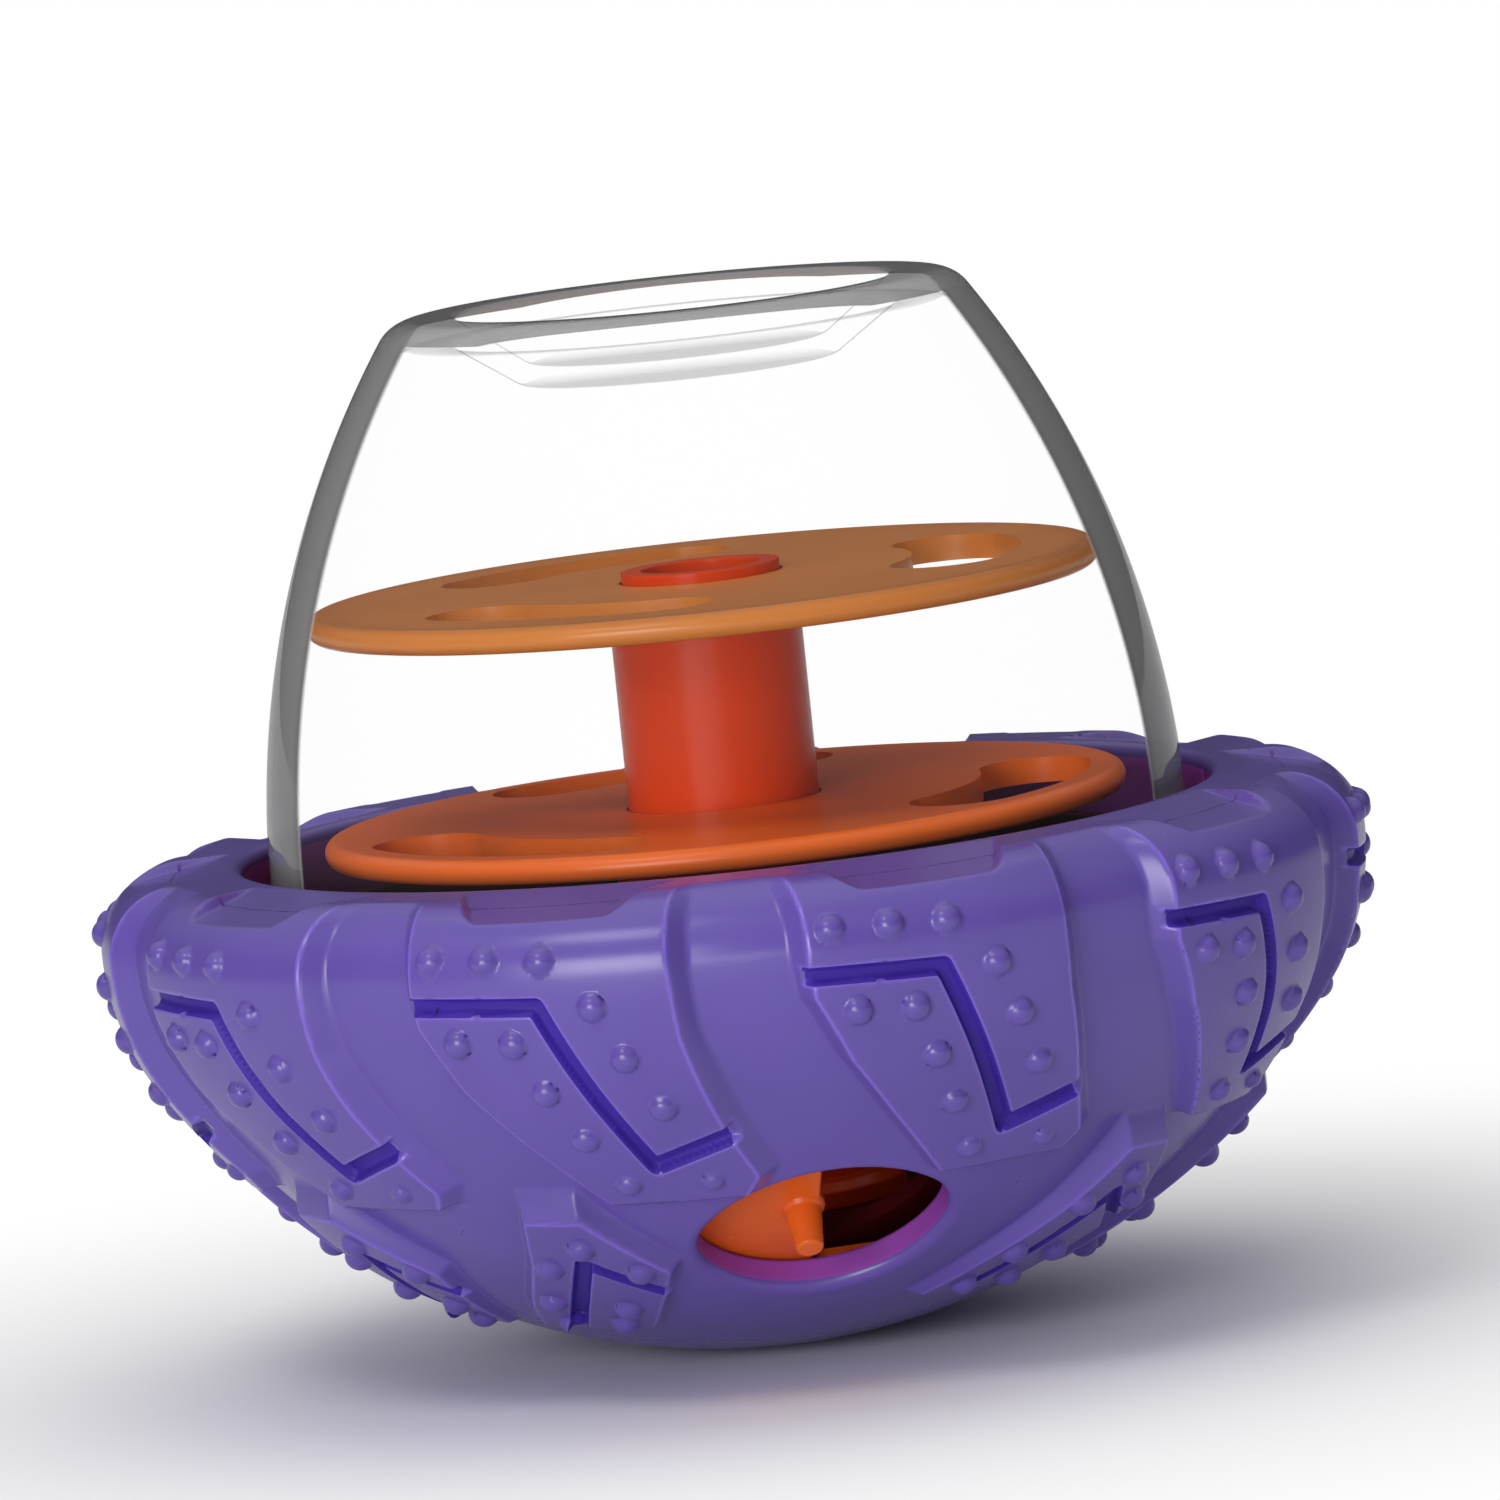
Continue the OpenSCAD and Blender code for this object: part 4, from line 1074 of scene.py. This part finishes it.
class FEEDER_OT_tread(bpy.types.Operator):
    """Make the tread shell: two sectors with an outlet, four between them, and the foot"""

    bl_idname = "feeder.make_tread"
    bl_label = "Tread shell"

    def execute(self, context):
        given = settings()[0]
        pattern = {"mottle_mm": 14, "grain_mm": 0.5}
        # Moulded thermoplastic rubber: even purple, satin gloss with soft broad lights, finest grain, and
        # painted highlight lines on its sharp edges
        rubber = moulded(
            "moulded_tread_rubber",
            given.rubber,
            roughness=0.25,
            **pattern,
            grain_depth_mm=0.004,
            contrast=0.035,
            level=0.42,
            lines=0.65,
        )
        # The same rubber deep in the grooves, duller, and darker in colour as painted shade for the grooves'
        # depth
        groove = moulded(
            "groove_painted_shade_rubber", given.groove, 0.5, **pattern, grain_depth_mm=0.01, contrast=0.05, level=0.2
        )
        # Its thin inner edges, round the outlets and inside the lip: the purple with the hopper's red bounce
        # light painted into its colour
        thin = moulded(
            "thin_edge_bounce_tinted_rubber", given.thin, 0.4, **pattern, grain_depth_mm=0.004, contrast=0.05, level=0.3
        )
        skin = TreadSkin(given.nub_height, given.groove_depth)
        wide, narrow = 72, 54
        sectors = []
        for side, turn in (("front", 0), ("rear", 180)):
            start = LOW_FIRST + turn - wide / 2
            sectors.append((f"tread_{side}", start, start + wide, OUTLET_AZIMUTH + turn))
            for k in (1, 2):
                first = start + wide + narrow * (k - 1)
                sectors.append((f"tread_{side}_side_{k}", first, first + narrow, None))
        cells, materials = (given.rows, given.cell_angle), [rubber, groove, thin]
        for name, start, end, outlet in sectors:
            piece = tread_piece(skin, name, start, end, *cells, materials, outlet)
            place_on(piece, "root", "tread_rubber", "tread_shell")
        theta = np.radians(FOOT_THETA)
        flat = np.arccos(SPHERE_Z / SPHERE_R)
        under = arc(0, SPHERE_Z, SPHERE_R, flat, theta, 40)
        over = arc(0, SPHERE_Z, INNER_R, theta, 0, 20)
        outline = [(0, 0), *under, *over[:-1], (0, SPHERE_Z - INNER_R)]
        foot = turned_object("tread_foot", outline, FOOT_COLUMNS, [rubber])
        place_on(foot, "root", "tread_rubber", "tread_shell")
        return {"FINISHED"}


# Gate ring


def outwards(azimuth, theta):
    """Unit vectors from the sphere's centre, for arrays of azimuth and slope angle in degrees."""
    a, t = np.radians(azimuth), np.radians(theta)
    return np.stack([np.sin(a) * np.sin(t), -np.cos(a) * np.sin(t), -np.cos(t) + 0 * a], -1)


def hoop(theta_low, theta_high):
    """Outline of one hoop of the gate ring: a slice of the spherical wall with its corners rounded."""
    count = 9
    t = np.radians(np.linspace(theta_low, theta_high, count))
    inner, outer = GATE_RS
    up = [(outer * np.sin(x), SPHERE_Z - outer * np.cos(x)) for x in t]
    down = [(inner * np.sin(x), SPHERE_Z - inner * np.cos(x)) for x in t[::-1]]
    radii = np.zeros(2 * count)
    radii[[0, count - 1, count, 2 * count - 1]] = HOOP_ROUND
    return rounded(up + down, radii, 4)


def shutter(centre):
    """Points and faces of one shutter: a strip section with rounded long edges, carried up the slope
    from hoop to hoop. Its left and right sides are meridians."""
    inner, outer = GATE_RS
    r = SHUTTER_ROUND
    turn = np.linspace(0, np.pi / 2, 5)
    mid = np.linspace(0, 1, 25)
    one = np.ones(len(turn))
    right = np.c_[one, r * (np.sin(turn) - 1), outer - r + r * np.cos(turn)]
    right_in = np.c_[one, r * (np.cos(turn) - 1), inner + r - r * np.sin(turn)]
    face = np.c_[mid[1:-1], 0 * mid[1:-1], 0 * mid[1:-1] + outer]
    half = np.concatenate([face, right])
    other = np.concatenate([right_in, face[::-1] * [1, 1, 0] + [0, 0, inner]])
    left_in = right_in[::-1] * [0, -1, 1]
    left = right[::-1] * [0, -1, 1]
    section = np.concatenate([left, half, other, left_in])
    theta = np.linspace(GATE_THETAS[0] + SHUTTER_LAP, GATE_THETAS[1] - SHUTTER_LAP, 40)[:, None]
    arc_mm = np.radians(1) * np.mean(GATE_RS) * np.sin(np.radians(theta))
    azimuth = centre - SHUTTER_SPAN * (1 - section[:, 0]) + section[:, 1] / arc_mm
    points = outwards(azimuth, theta + 0 * azimuth) * section[:, 2, None] + [0, 0, SPHERE_Z]
    index = np.arange(azimuth.size).reshape(azimuth.shape)
    n = len(section)
    i = np.arange(n // 2 - 1)
    cap = np.stack([i, i + 1, n - 2 - i, n - 1 - i], -1)
    ends = [index[0][cap][:, ::-1], index[-1][cap]]
    return points.reshape(-1, 3), [grid_faces(index, wrap_columns=True), *ends]


def peg(centre):
    """Points and faces of one peg: a slim cone with a flared root and a rounded tip, along its own
    slope's outward direction."""
    inner, outer = GATE_RS
    root_r, neck_r, tip_r = PEG_RS
    low, tip = inner + 0.4, outer + PEG_LENGTH
    outline = [(0, low), (root_r, low), (root_r, outer - 0.1), (neck_r, outer + 0.5), (tip_r, tip), (0, tip)]
    points, rows = turned(rounded(outline, [0, 0, 0, 0.8, 0.45, 0], 6), PEG_COLUMNS)
    across, up, out = outlet_axes(centre)
    points = points @ np.array([across, up, out]) + [0, 0, SPHERE_Z]
    return points, [tidy(grid_faces(rows, wrap_rows=True, wrap_columns=True))]


def joined(name, solids, materials):
    """One mesh object of several closed solids."""
    points, faces, count = [], [], 0
    for p, blocks in solids:
        points.append(p)
        for block in blocks:
            listed = block.tolist() if isinstance(block, np.ndarray) else block
            faces.append([[v + count for v in f] for f in listed])
        count += len(p)
    return make_mesh(name, np.concatenate(points), faces, materials)


class FEEDER_OT_gate(bpy.types.Operator):
    """Make the gate ring: two hoops, and a shutter with its peg at each outlet"""

    bl_idname = "feeder.make_gate"
    bl_label = "Gate ring"

    def execute(self, context):
        given = settings()[1]
        # Moulded ABS: bright orange with a clean gloss and rounded edges that catch the light
        plastic = moulded(
            "moulded_gate_abs",
            given.gate,
            roughness=0.26,
            mottle_mm=10,
            grain_mm=0.6,
            grain_depth_mm=0.003,
            contrast=0.04,
            level=0.3,
        )
        low, high = GATE_THETAS
        solids = []
        for ends in ((low, low + HOOP_THETA), (high - HOOP_THETA, high)):
            points, rows = turned(hoop(*ends), HOOP_COLUMNS)
            solids.append((points, [grid_faces(rows, wrap_rows=True, wrap_columns=True)]))
        for turn in (0, 180):
            solids.append(shutter(OUTLET_AZIMUTH + turn))
            solids.append(peg(PEG_AZIMUTH + turn))
        place_on(joined("gate_ring_moulding", solids, [plastic]), "gate", "gate_plastic", "gate_ring")
        return {"FINISHED"}


# Dome


def dome_outlines():
    """Outer and inner outlines of the dome, both from the foot to the axis. A wall's side is an arc
    that touches the edge's arc, then come the flat ring, the dish's sloping side and its floor."""
    lines = []
    for wall, ring in ((0, 0), (DOME_WALL, DOME_RING)):
        side, edge = DOME_SIDE_R - wall, DOME_EDGE_R - wall
        centre = DOME_R - DOME_SIDE_R
        top = DOME_TOP - ring
        edge_z = top - edge
        turn = np.arcsin((edge_z - DOME_WIDE_Z) / (side - edge))
        edge_x = centre + (side - edge) * np.cos(turn)
        foot = np.arcsin((DOME_FOOT - DOME_WIDE_Z) / side)
        wall_line = arc(centre, DOME_WIDE_Z, side, np.pi / 2 + foot, np.pi / 2 + turn, DOME_SIDE_POINTS)
        corner = arc(edge_x, edge_z, edge, np.pi / 2 + turn, np.pi, 14)[1:]
        slope = (DISH_MOUTH_R - DISH_FLOOR_R) / DISH_DEPTH
        floor_z = DOME_TOP - DISH_DEPTH - wall
        floor_r = DISH_FLOOR_R + wall / 2
        mouth_r = floor_r + (top - floor_z) * slope + wall / 4
        bend = [(edge_x, top), (mouth_r, top), (floor_r, floor_z), (0, floor_z)]
        dish = rounded(bend, [0, *DISH_ROUNDS, 0], 8)[1:]
        lines.append(np.concatenate([wall_line, corner, dish]))
    return lines


class FEEDER_OT_dome(bpy.types.Operator):
    """Make the clear dome with its dished top"""

    bl_idname = "feeder.make_dome"
    bl_label = "Dome"

    def execute(self, context):
        given = settings()[2]
        # Moulded clear PC: the outside shows a painted grey band where the eye runs along the wall, for the
        # surroundings refracted and reflected there
        outside = clear_plastic(
            "polished_clear_pc", given.edge, band=0.645, body=given.haze, rim_alpha=0.88
        )
        # Its inner face only adds a faint film and a thin painted grey line at its own outline
        inside = clear_plastic(
            "polished_clear_pc_inner", shade(given.edge, 0.8), band=0.93, body=given.haze * 0.5, rim_alpha=0.4
        )
        # The thick ring round its top, with the painted grey over more of its curve
        ring = clear_plastic(
            "polished_clear_pc_ring", given.edge, band=0.38, body=given.haze, rim_alpha=0.85
        )
        outer, inner = dome_outlines()
        profile = np.concatenate([outer, inner[::-1]])
        materials = [outside, inside, ring]
        share = np.full(len(profile), materials.index(inside))
        share[:DOME_SIDE_POINTS] = materials.index(outside)
        share[DOME_SIDE_POINTS : DOME_SIDE_POINTS + DOME_RING_POINTS] = materials.index(ring)
        share[-1] = materials.index(outside)
        dome = turned_object("dome_moulding", profile, given.columns, materials, share)
        place_on(dome, "dome", "dome_clear", "dome")
        return {"FINISHED"}


# CAD pieces that keep their shape


class FEEDER_OT_inside(bpy.types.Operator):
    """Finish the hopper, post, trays, seal, weight, cover and screws, whose shapes stay"""

    bl_idname = "feeder.finish_inside"
    bl_label = "Inner pieces"

    def execute(self, context):
        given = settings()[1]
        tray = dict(roughness=0.3, mottle_mm=16, grain_mm=0.6, grain_depth_mm=0.003, contrast=0.03, level=0.3)
        finishes = {
            # Moulded ABS, glossy: broad soft lights on the trays
            "lower_tray": moulded("moulded_lower_tray_abs", given.lower_tray, **tray),
            # Painted shade: the upper tray's browner, darker colour stands for the dome over it
            "upper_tray": moulded("upper_tray_abs_painted_shade", given.upper_tray, **tray),
            # The same ABS, duller, with hardly a light on it, and coloured a dark red as painted shade over
            # its orange, as it lies in the dark
            "hopper_bowl": moulded(
                "hopper_abs_painted_shade",
                given.hopper,
                roughness=0.6,
                mottle_mm=18,
                grain_mm=0.6,
                grain_depth_mm=0.003,
                contrast=0.05,
                level=0.06,
            ),
            # The same, with sharper lights and its edges rounded by half a millimetre
            "centre_post": moulded(
                "moulded_post_abs",
                given.post,
                roughness=0.24,
                mottle_mm=16,
                grain_mm=0.6,
                grain_depth_mm=0.002,
                contrast=0.03,
                level=0.15,
                edge_mm=0.5,
            ),
            # Moulded nylon plate: dull dark grey
            "weight_cover": moulded(
                "moulded_cover_nylon",
                given.cover,
                roughness=0.6,
                mottle_mm=8,
                grain_mm=0.4,
                grain_depth_mm=0.02,
                contrast=0.08,
                level=0.3,
                edge_mm=0.3,
            ),
            # Liquid silicone rubber: pale, soft, hardly glossy
            "dome_seal": moulded(
                "pressed_silicone",
                given.seal,
                roughness=0.5,
                mottle_mm=6,
                grain_mm=0.5,
                grain_depth_mm=0.005,
                contrast=0.03,
                level=0.4,
                edge_mm=0.2,
            ),
            # Pressed mild steel, left bare: grey with faint turning marks
            "weight_disc": steel("pressed_mild_steel", given.steel, roughness=0.42, brush_mm=0.4),
        }
        # Zinc-plated steel: brighter, with finer marks
        zinc = steel("zinc_plated_steel", given.zinc, roughness=0.3, brush_mm=0.2)
        nodes = frame["nodes"]
        finishes.update({name: zinc for name in nodes if "screw" in name})
        for name, material in finishes.items():
            mesh = nodes[name].data
            if mesh.materials:
                for place in range(len(mesh.materials)):
                    mesh.materials[place] = material
            else:
                mesh.materials.append(material)
        return {"FINISHED"}


# Stage


def area_light(name, place, aim, size, power):
    """A rectangular soft light at a place in metres, which faces its aim."""
    data = bpy.data.lights.new(name, "AREA")
    data.shape = "RECTANGLE"
    data.size, data.size_y = size
    data.energy = power
    light = bpy.data.objects.new(name, data)
    light.matrix_world = Matrix.Translation(place) @ (
        (Vector(place) - Vector(aim)).to_track_quat("Z", "Y").to_matrix().to_4x4()
    )
    bpy.context.scene.collection.objects.link(light)


def white_world(level):
    """A surround that is bright overhead and dim at eye level, so that edges keep their colour. It is
    plain white to the camera and through clear plastic."""
    world, tree = emptied(bpy.data.worlds.new("white_studio"))
    way = add_node(tree, "ShaderNodeTexCoord").outputs["Generated"]
    height = add_node(tree, "ShaderNodeSeparateXYZ", {0: way}).outputs["Z"]
    sky = {"Value": height, "From Min": 0.2, "From Max": 0.75, "To Min": 0.08 * level, "To Max": level}
    sky = add_node(tree, "ShaderNodeMapRange", sky, interpolation_type="SMOOTHSTEP").outputs[0]
    path = add_node(tree, "ShaderNodeLightPath").outputs
    seen = {0: path["Is Camera Ray"], 1: path["Is Transmission Ray"]}
    seen = add_node(tree, "ShaderNodeMath", seen, operation="MAXIMUM").outputs[0]
    strength = add_node(tree, "ShaderNodeMath", {0: sky, 1: seen}, operation="MAXIMUM").outputs[0]
    light = add_node(tree, "ShaderNodeBackground", {"Color": (1, 1, 1, 1), "Strength": strength})
    add_node(tree, "ShaderNodeOutputWorld", {"Surface": light.outputs[0]})
    bpy.context.scene.world = world


def paper_floor():
    """Matt white paper: it takes the shadow near the object, and is plain white to the camera further
    out."""
    material, tree = emptied(bpy.data.materials.new("matt_white_paper"))
    place = add_node(tree, "ShaderNodeTexCoord").outputs["Object"]
    far = add_node(tree, "ShaderNodeVectorMath", {0: place}, operation="LENGTH")
    fade = {"Value": far.outputs["Value"], "From Min": 0.05, "From Max": 0.2}
    fade = add_node(tree, "ShaderNodeMapRange", fade, interpolation_type="SMOOTHSTEP")
    paper = add_node(tree, "ShaderNodeBsdfDiffuse", {"Color": (0.97, 0.97, 0.97, 1)})
    white = add_node(tree, "ShaderNodeEmission", {"Color": (1, 1, 1, 1), "Strength": 1.0})
    path = add_node(tree, "ShaderNodeLightPath").outputs
    share = {0: fade.outputs[0], 1: path["Is Camera Ray"]}
    share = add_node(tree, "ShaderNodeMath", share, operation="MULTIPLY")
    mix = {0: share.outputs[0], 1: paper.outputs[0], 2: white.outputs[0]}
    mix = add_node(tree, "ShaderNodeMixShader", mix)
    add_node(tree, "ShaderNodeOutputMaterial", {"Surface": mix.outputs[0]})
    half = 4.0
    corners = [(-half, -half, 0), (half, -half, 0), (half, half, 0), (-half, half, 0)]
    mesh = bpy.data.meshes.new("floor")
    mesh.from_pydata(corners, [], [(0, 1, 2, 3)])
    mesh.materials.append(material)
    floor = bpy.data.objects.new("floor", mesh)
    bpy.context.scene.collection.objects.link(floor)


def photo_camera(given):
    """A long lens from the front, a little above, rolled so that the feeder leans left in the picture."""
    e, roll = given.elevation, given.roll
    forward = Vector((0, np.cos(e), -np.sin(e)))
    level_up = Vector((0, np.sin(e), np.cos(e)))
    right = Vector((1, 0, 0)) * np.cos(roll) - level_up * np.sin(roll)
    up = level_up * np.cos(roll) + Vector((1, 0, 0)) * np.sin(roll)
    aim = Vector((0, 0, AIM_Z)) + right * AIM_SHIFT[0] + up * AIM_SHIFT[1]
    data = bpy.data.cameras.new("photo_camera")
    data.lens = given.lens
    data.sensor_width = 36
    data.clip_end = 20
    camera = bpy.data.objects.new("photo_camera", data)
    turn = Matrix((right, up, -forward)).transposed().to_4x4()
    camera.matrix_world = Matrix.Translation(aim - forward * given.distance) @ turn
    bpy.context.scene.collection.objects.link(camera)
    bpy.context.scene.camera = camera


class FEEDER_OT_stage(bpy.types.Operator):
    """Set the white floor, the surround, the soft lights and the camera"""

    bl_idname = "feeder.set_stage"
    bl_label = "Stage"

    def execute(self, context):
        given = settings()[3]
        context.scene.view_settings.view_transform = "Standard"
        white_world(given.world)
        paper_floor()
        middle = (0, 0, 0.06)
        softboxes = (
            ("front_softbox", (-0.5, -1.2, 0.3), (0.6, 0.4), given.key),
            ("high_softbox", (-0.35, -0.62, 0.95), (0.4, 0.25), given.side),
            ("low_softbox", (-0.25, -1.1, 0.04), (0.9, 0.05), given.low),
            ("top_softbox", (0, 0.1, 1.2), (1.0, 1.0), given.top),
        )
        for name, place, size, power in softboxes:
            area_light(name, place, middle, size, power)
        photo_camera(given)
        return {"FINISHED"}


class FEEDER_PT_panel(bpy.types.Panel):
    """The feeder's fields and steps"""

    bl_idname = "FEEDER_PT_panel"
    bl_label = "Puzzle feeder"
    bl_space_type = "VIEW_3D"
    bl_region_type = "UI"
    bl_category = "Feeder"

    def draw(self, context):
        fields = settings()
        steps = (
            (fields[0], ["feeder.make_tread"]),
            (fields[1], ["feeder.make_gate", "feeder.finish_inside"]),
            (fields[2], ["feeder.make_dome"]),
            (fields[3], ["feeder.set_stage"]),
        )
        for group, names in steps:
            box = self.layout.box()
            for name in group.bl_rna.properties.keys():
                if name not in ("rna_type", "name"):
                    box.prop(group, name)
            for name in names:
                box.operator(name)


CLASSES = (
    FEEDER_PG_tread,
    FEEDER_PG_inside,
    FEEDER_PG_dome,
    FEEDER_PG_stage,
    FEEDER_OT_tread,
    FEEDER_OT_gate,
    FEEDER_OT_dome,
    FEEDER_OT_inside,
    FEEDER_OT_stage,
    FEEDER_PT_panel,
)


def register():
    """Add the classes, and the fields to every scene."""
    for cls in CLASSES:
        bpy.utils.register_class(cls)
    bpy.types.Scene.feeder_tread = PointerProperty(type=FEEDER_PG_tread)
    bpy.types.Scene.feeder_inside = PointerProperty(type=FEEDER_PG_inside)
    bpy.types.Scene.feeder_dome = PointerProperty(type=FEEDER_PG_dome)
    bpy.types.Scene.feeder_stage = PointerProperty(type=FEEDER_PG_stage)


def unregister():
    """Take the fields and the classes out again."""
    del bpy.types.Scene.feeder_stage
    del bpy.types.Scene.feeder_dome
    del bpy.types.Scene.feeder_inside
    del bpy.types.Scene.feeder_tread
    for cls in reversed(CLASSES):
        bpy.utils.unregister_class(cls)


def main():
    """Build the pieces in order."""
    register()
    bpy.ops.feeder.make_tread()
    bpy.ops.feeder.make_gate()
    bpy.ops.feeder.make_dome()
    bpy.ops.feeder.finish_inside()
    bpy.ops.feeder.set_stage()


if __name__ == "__main__":
    main()
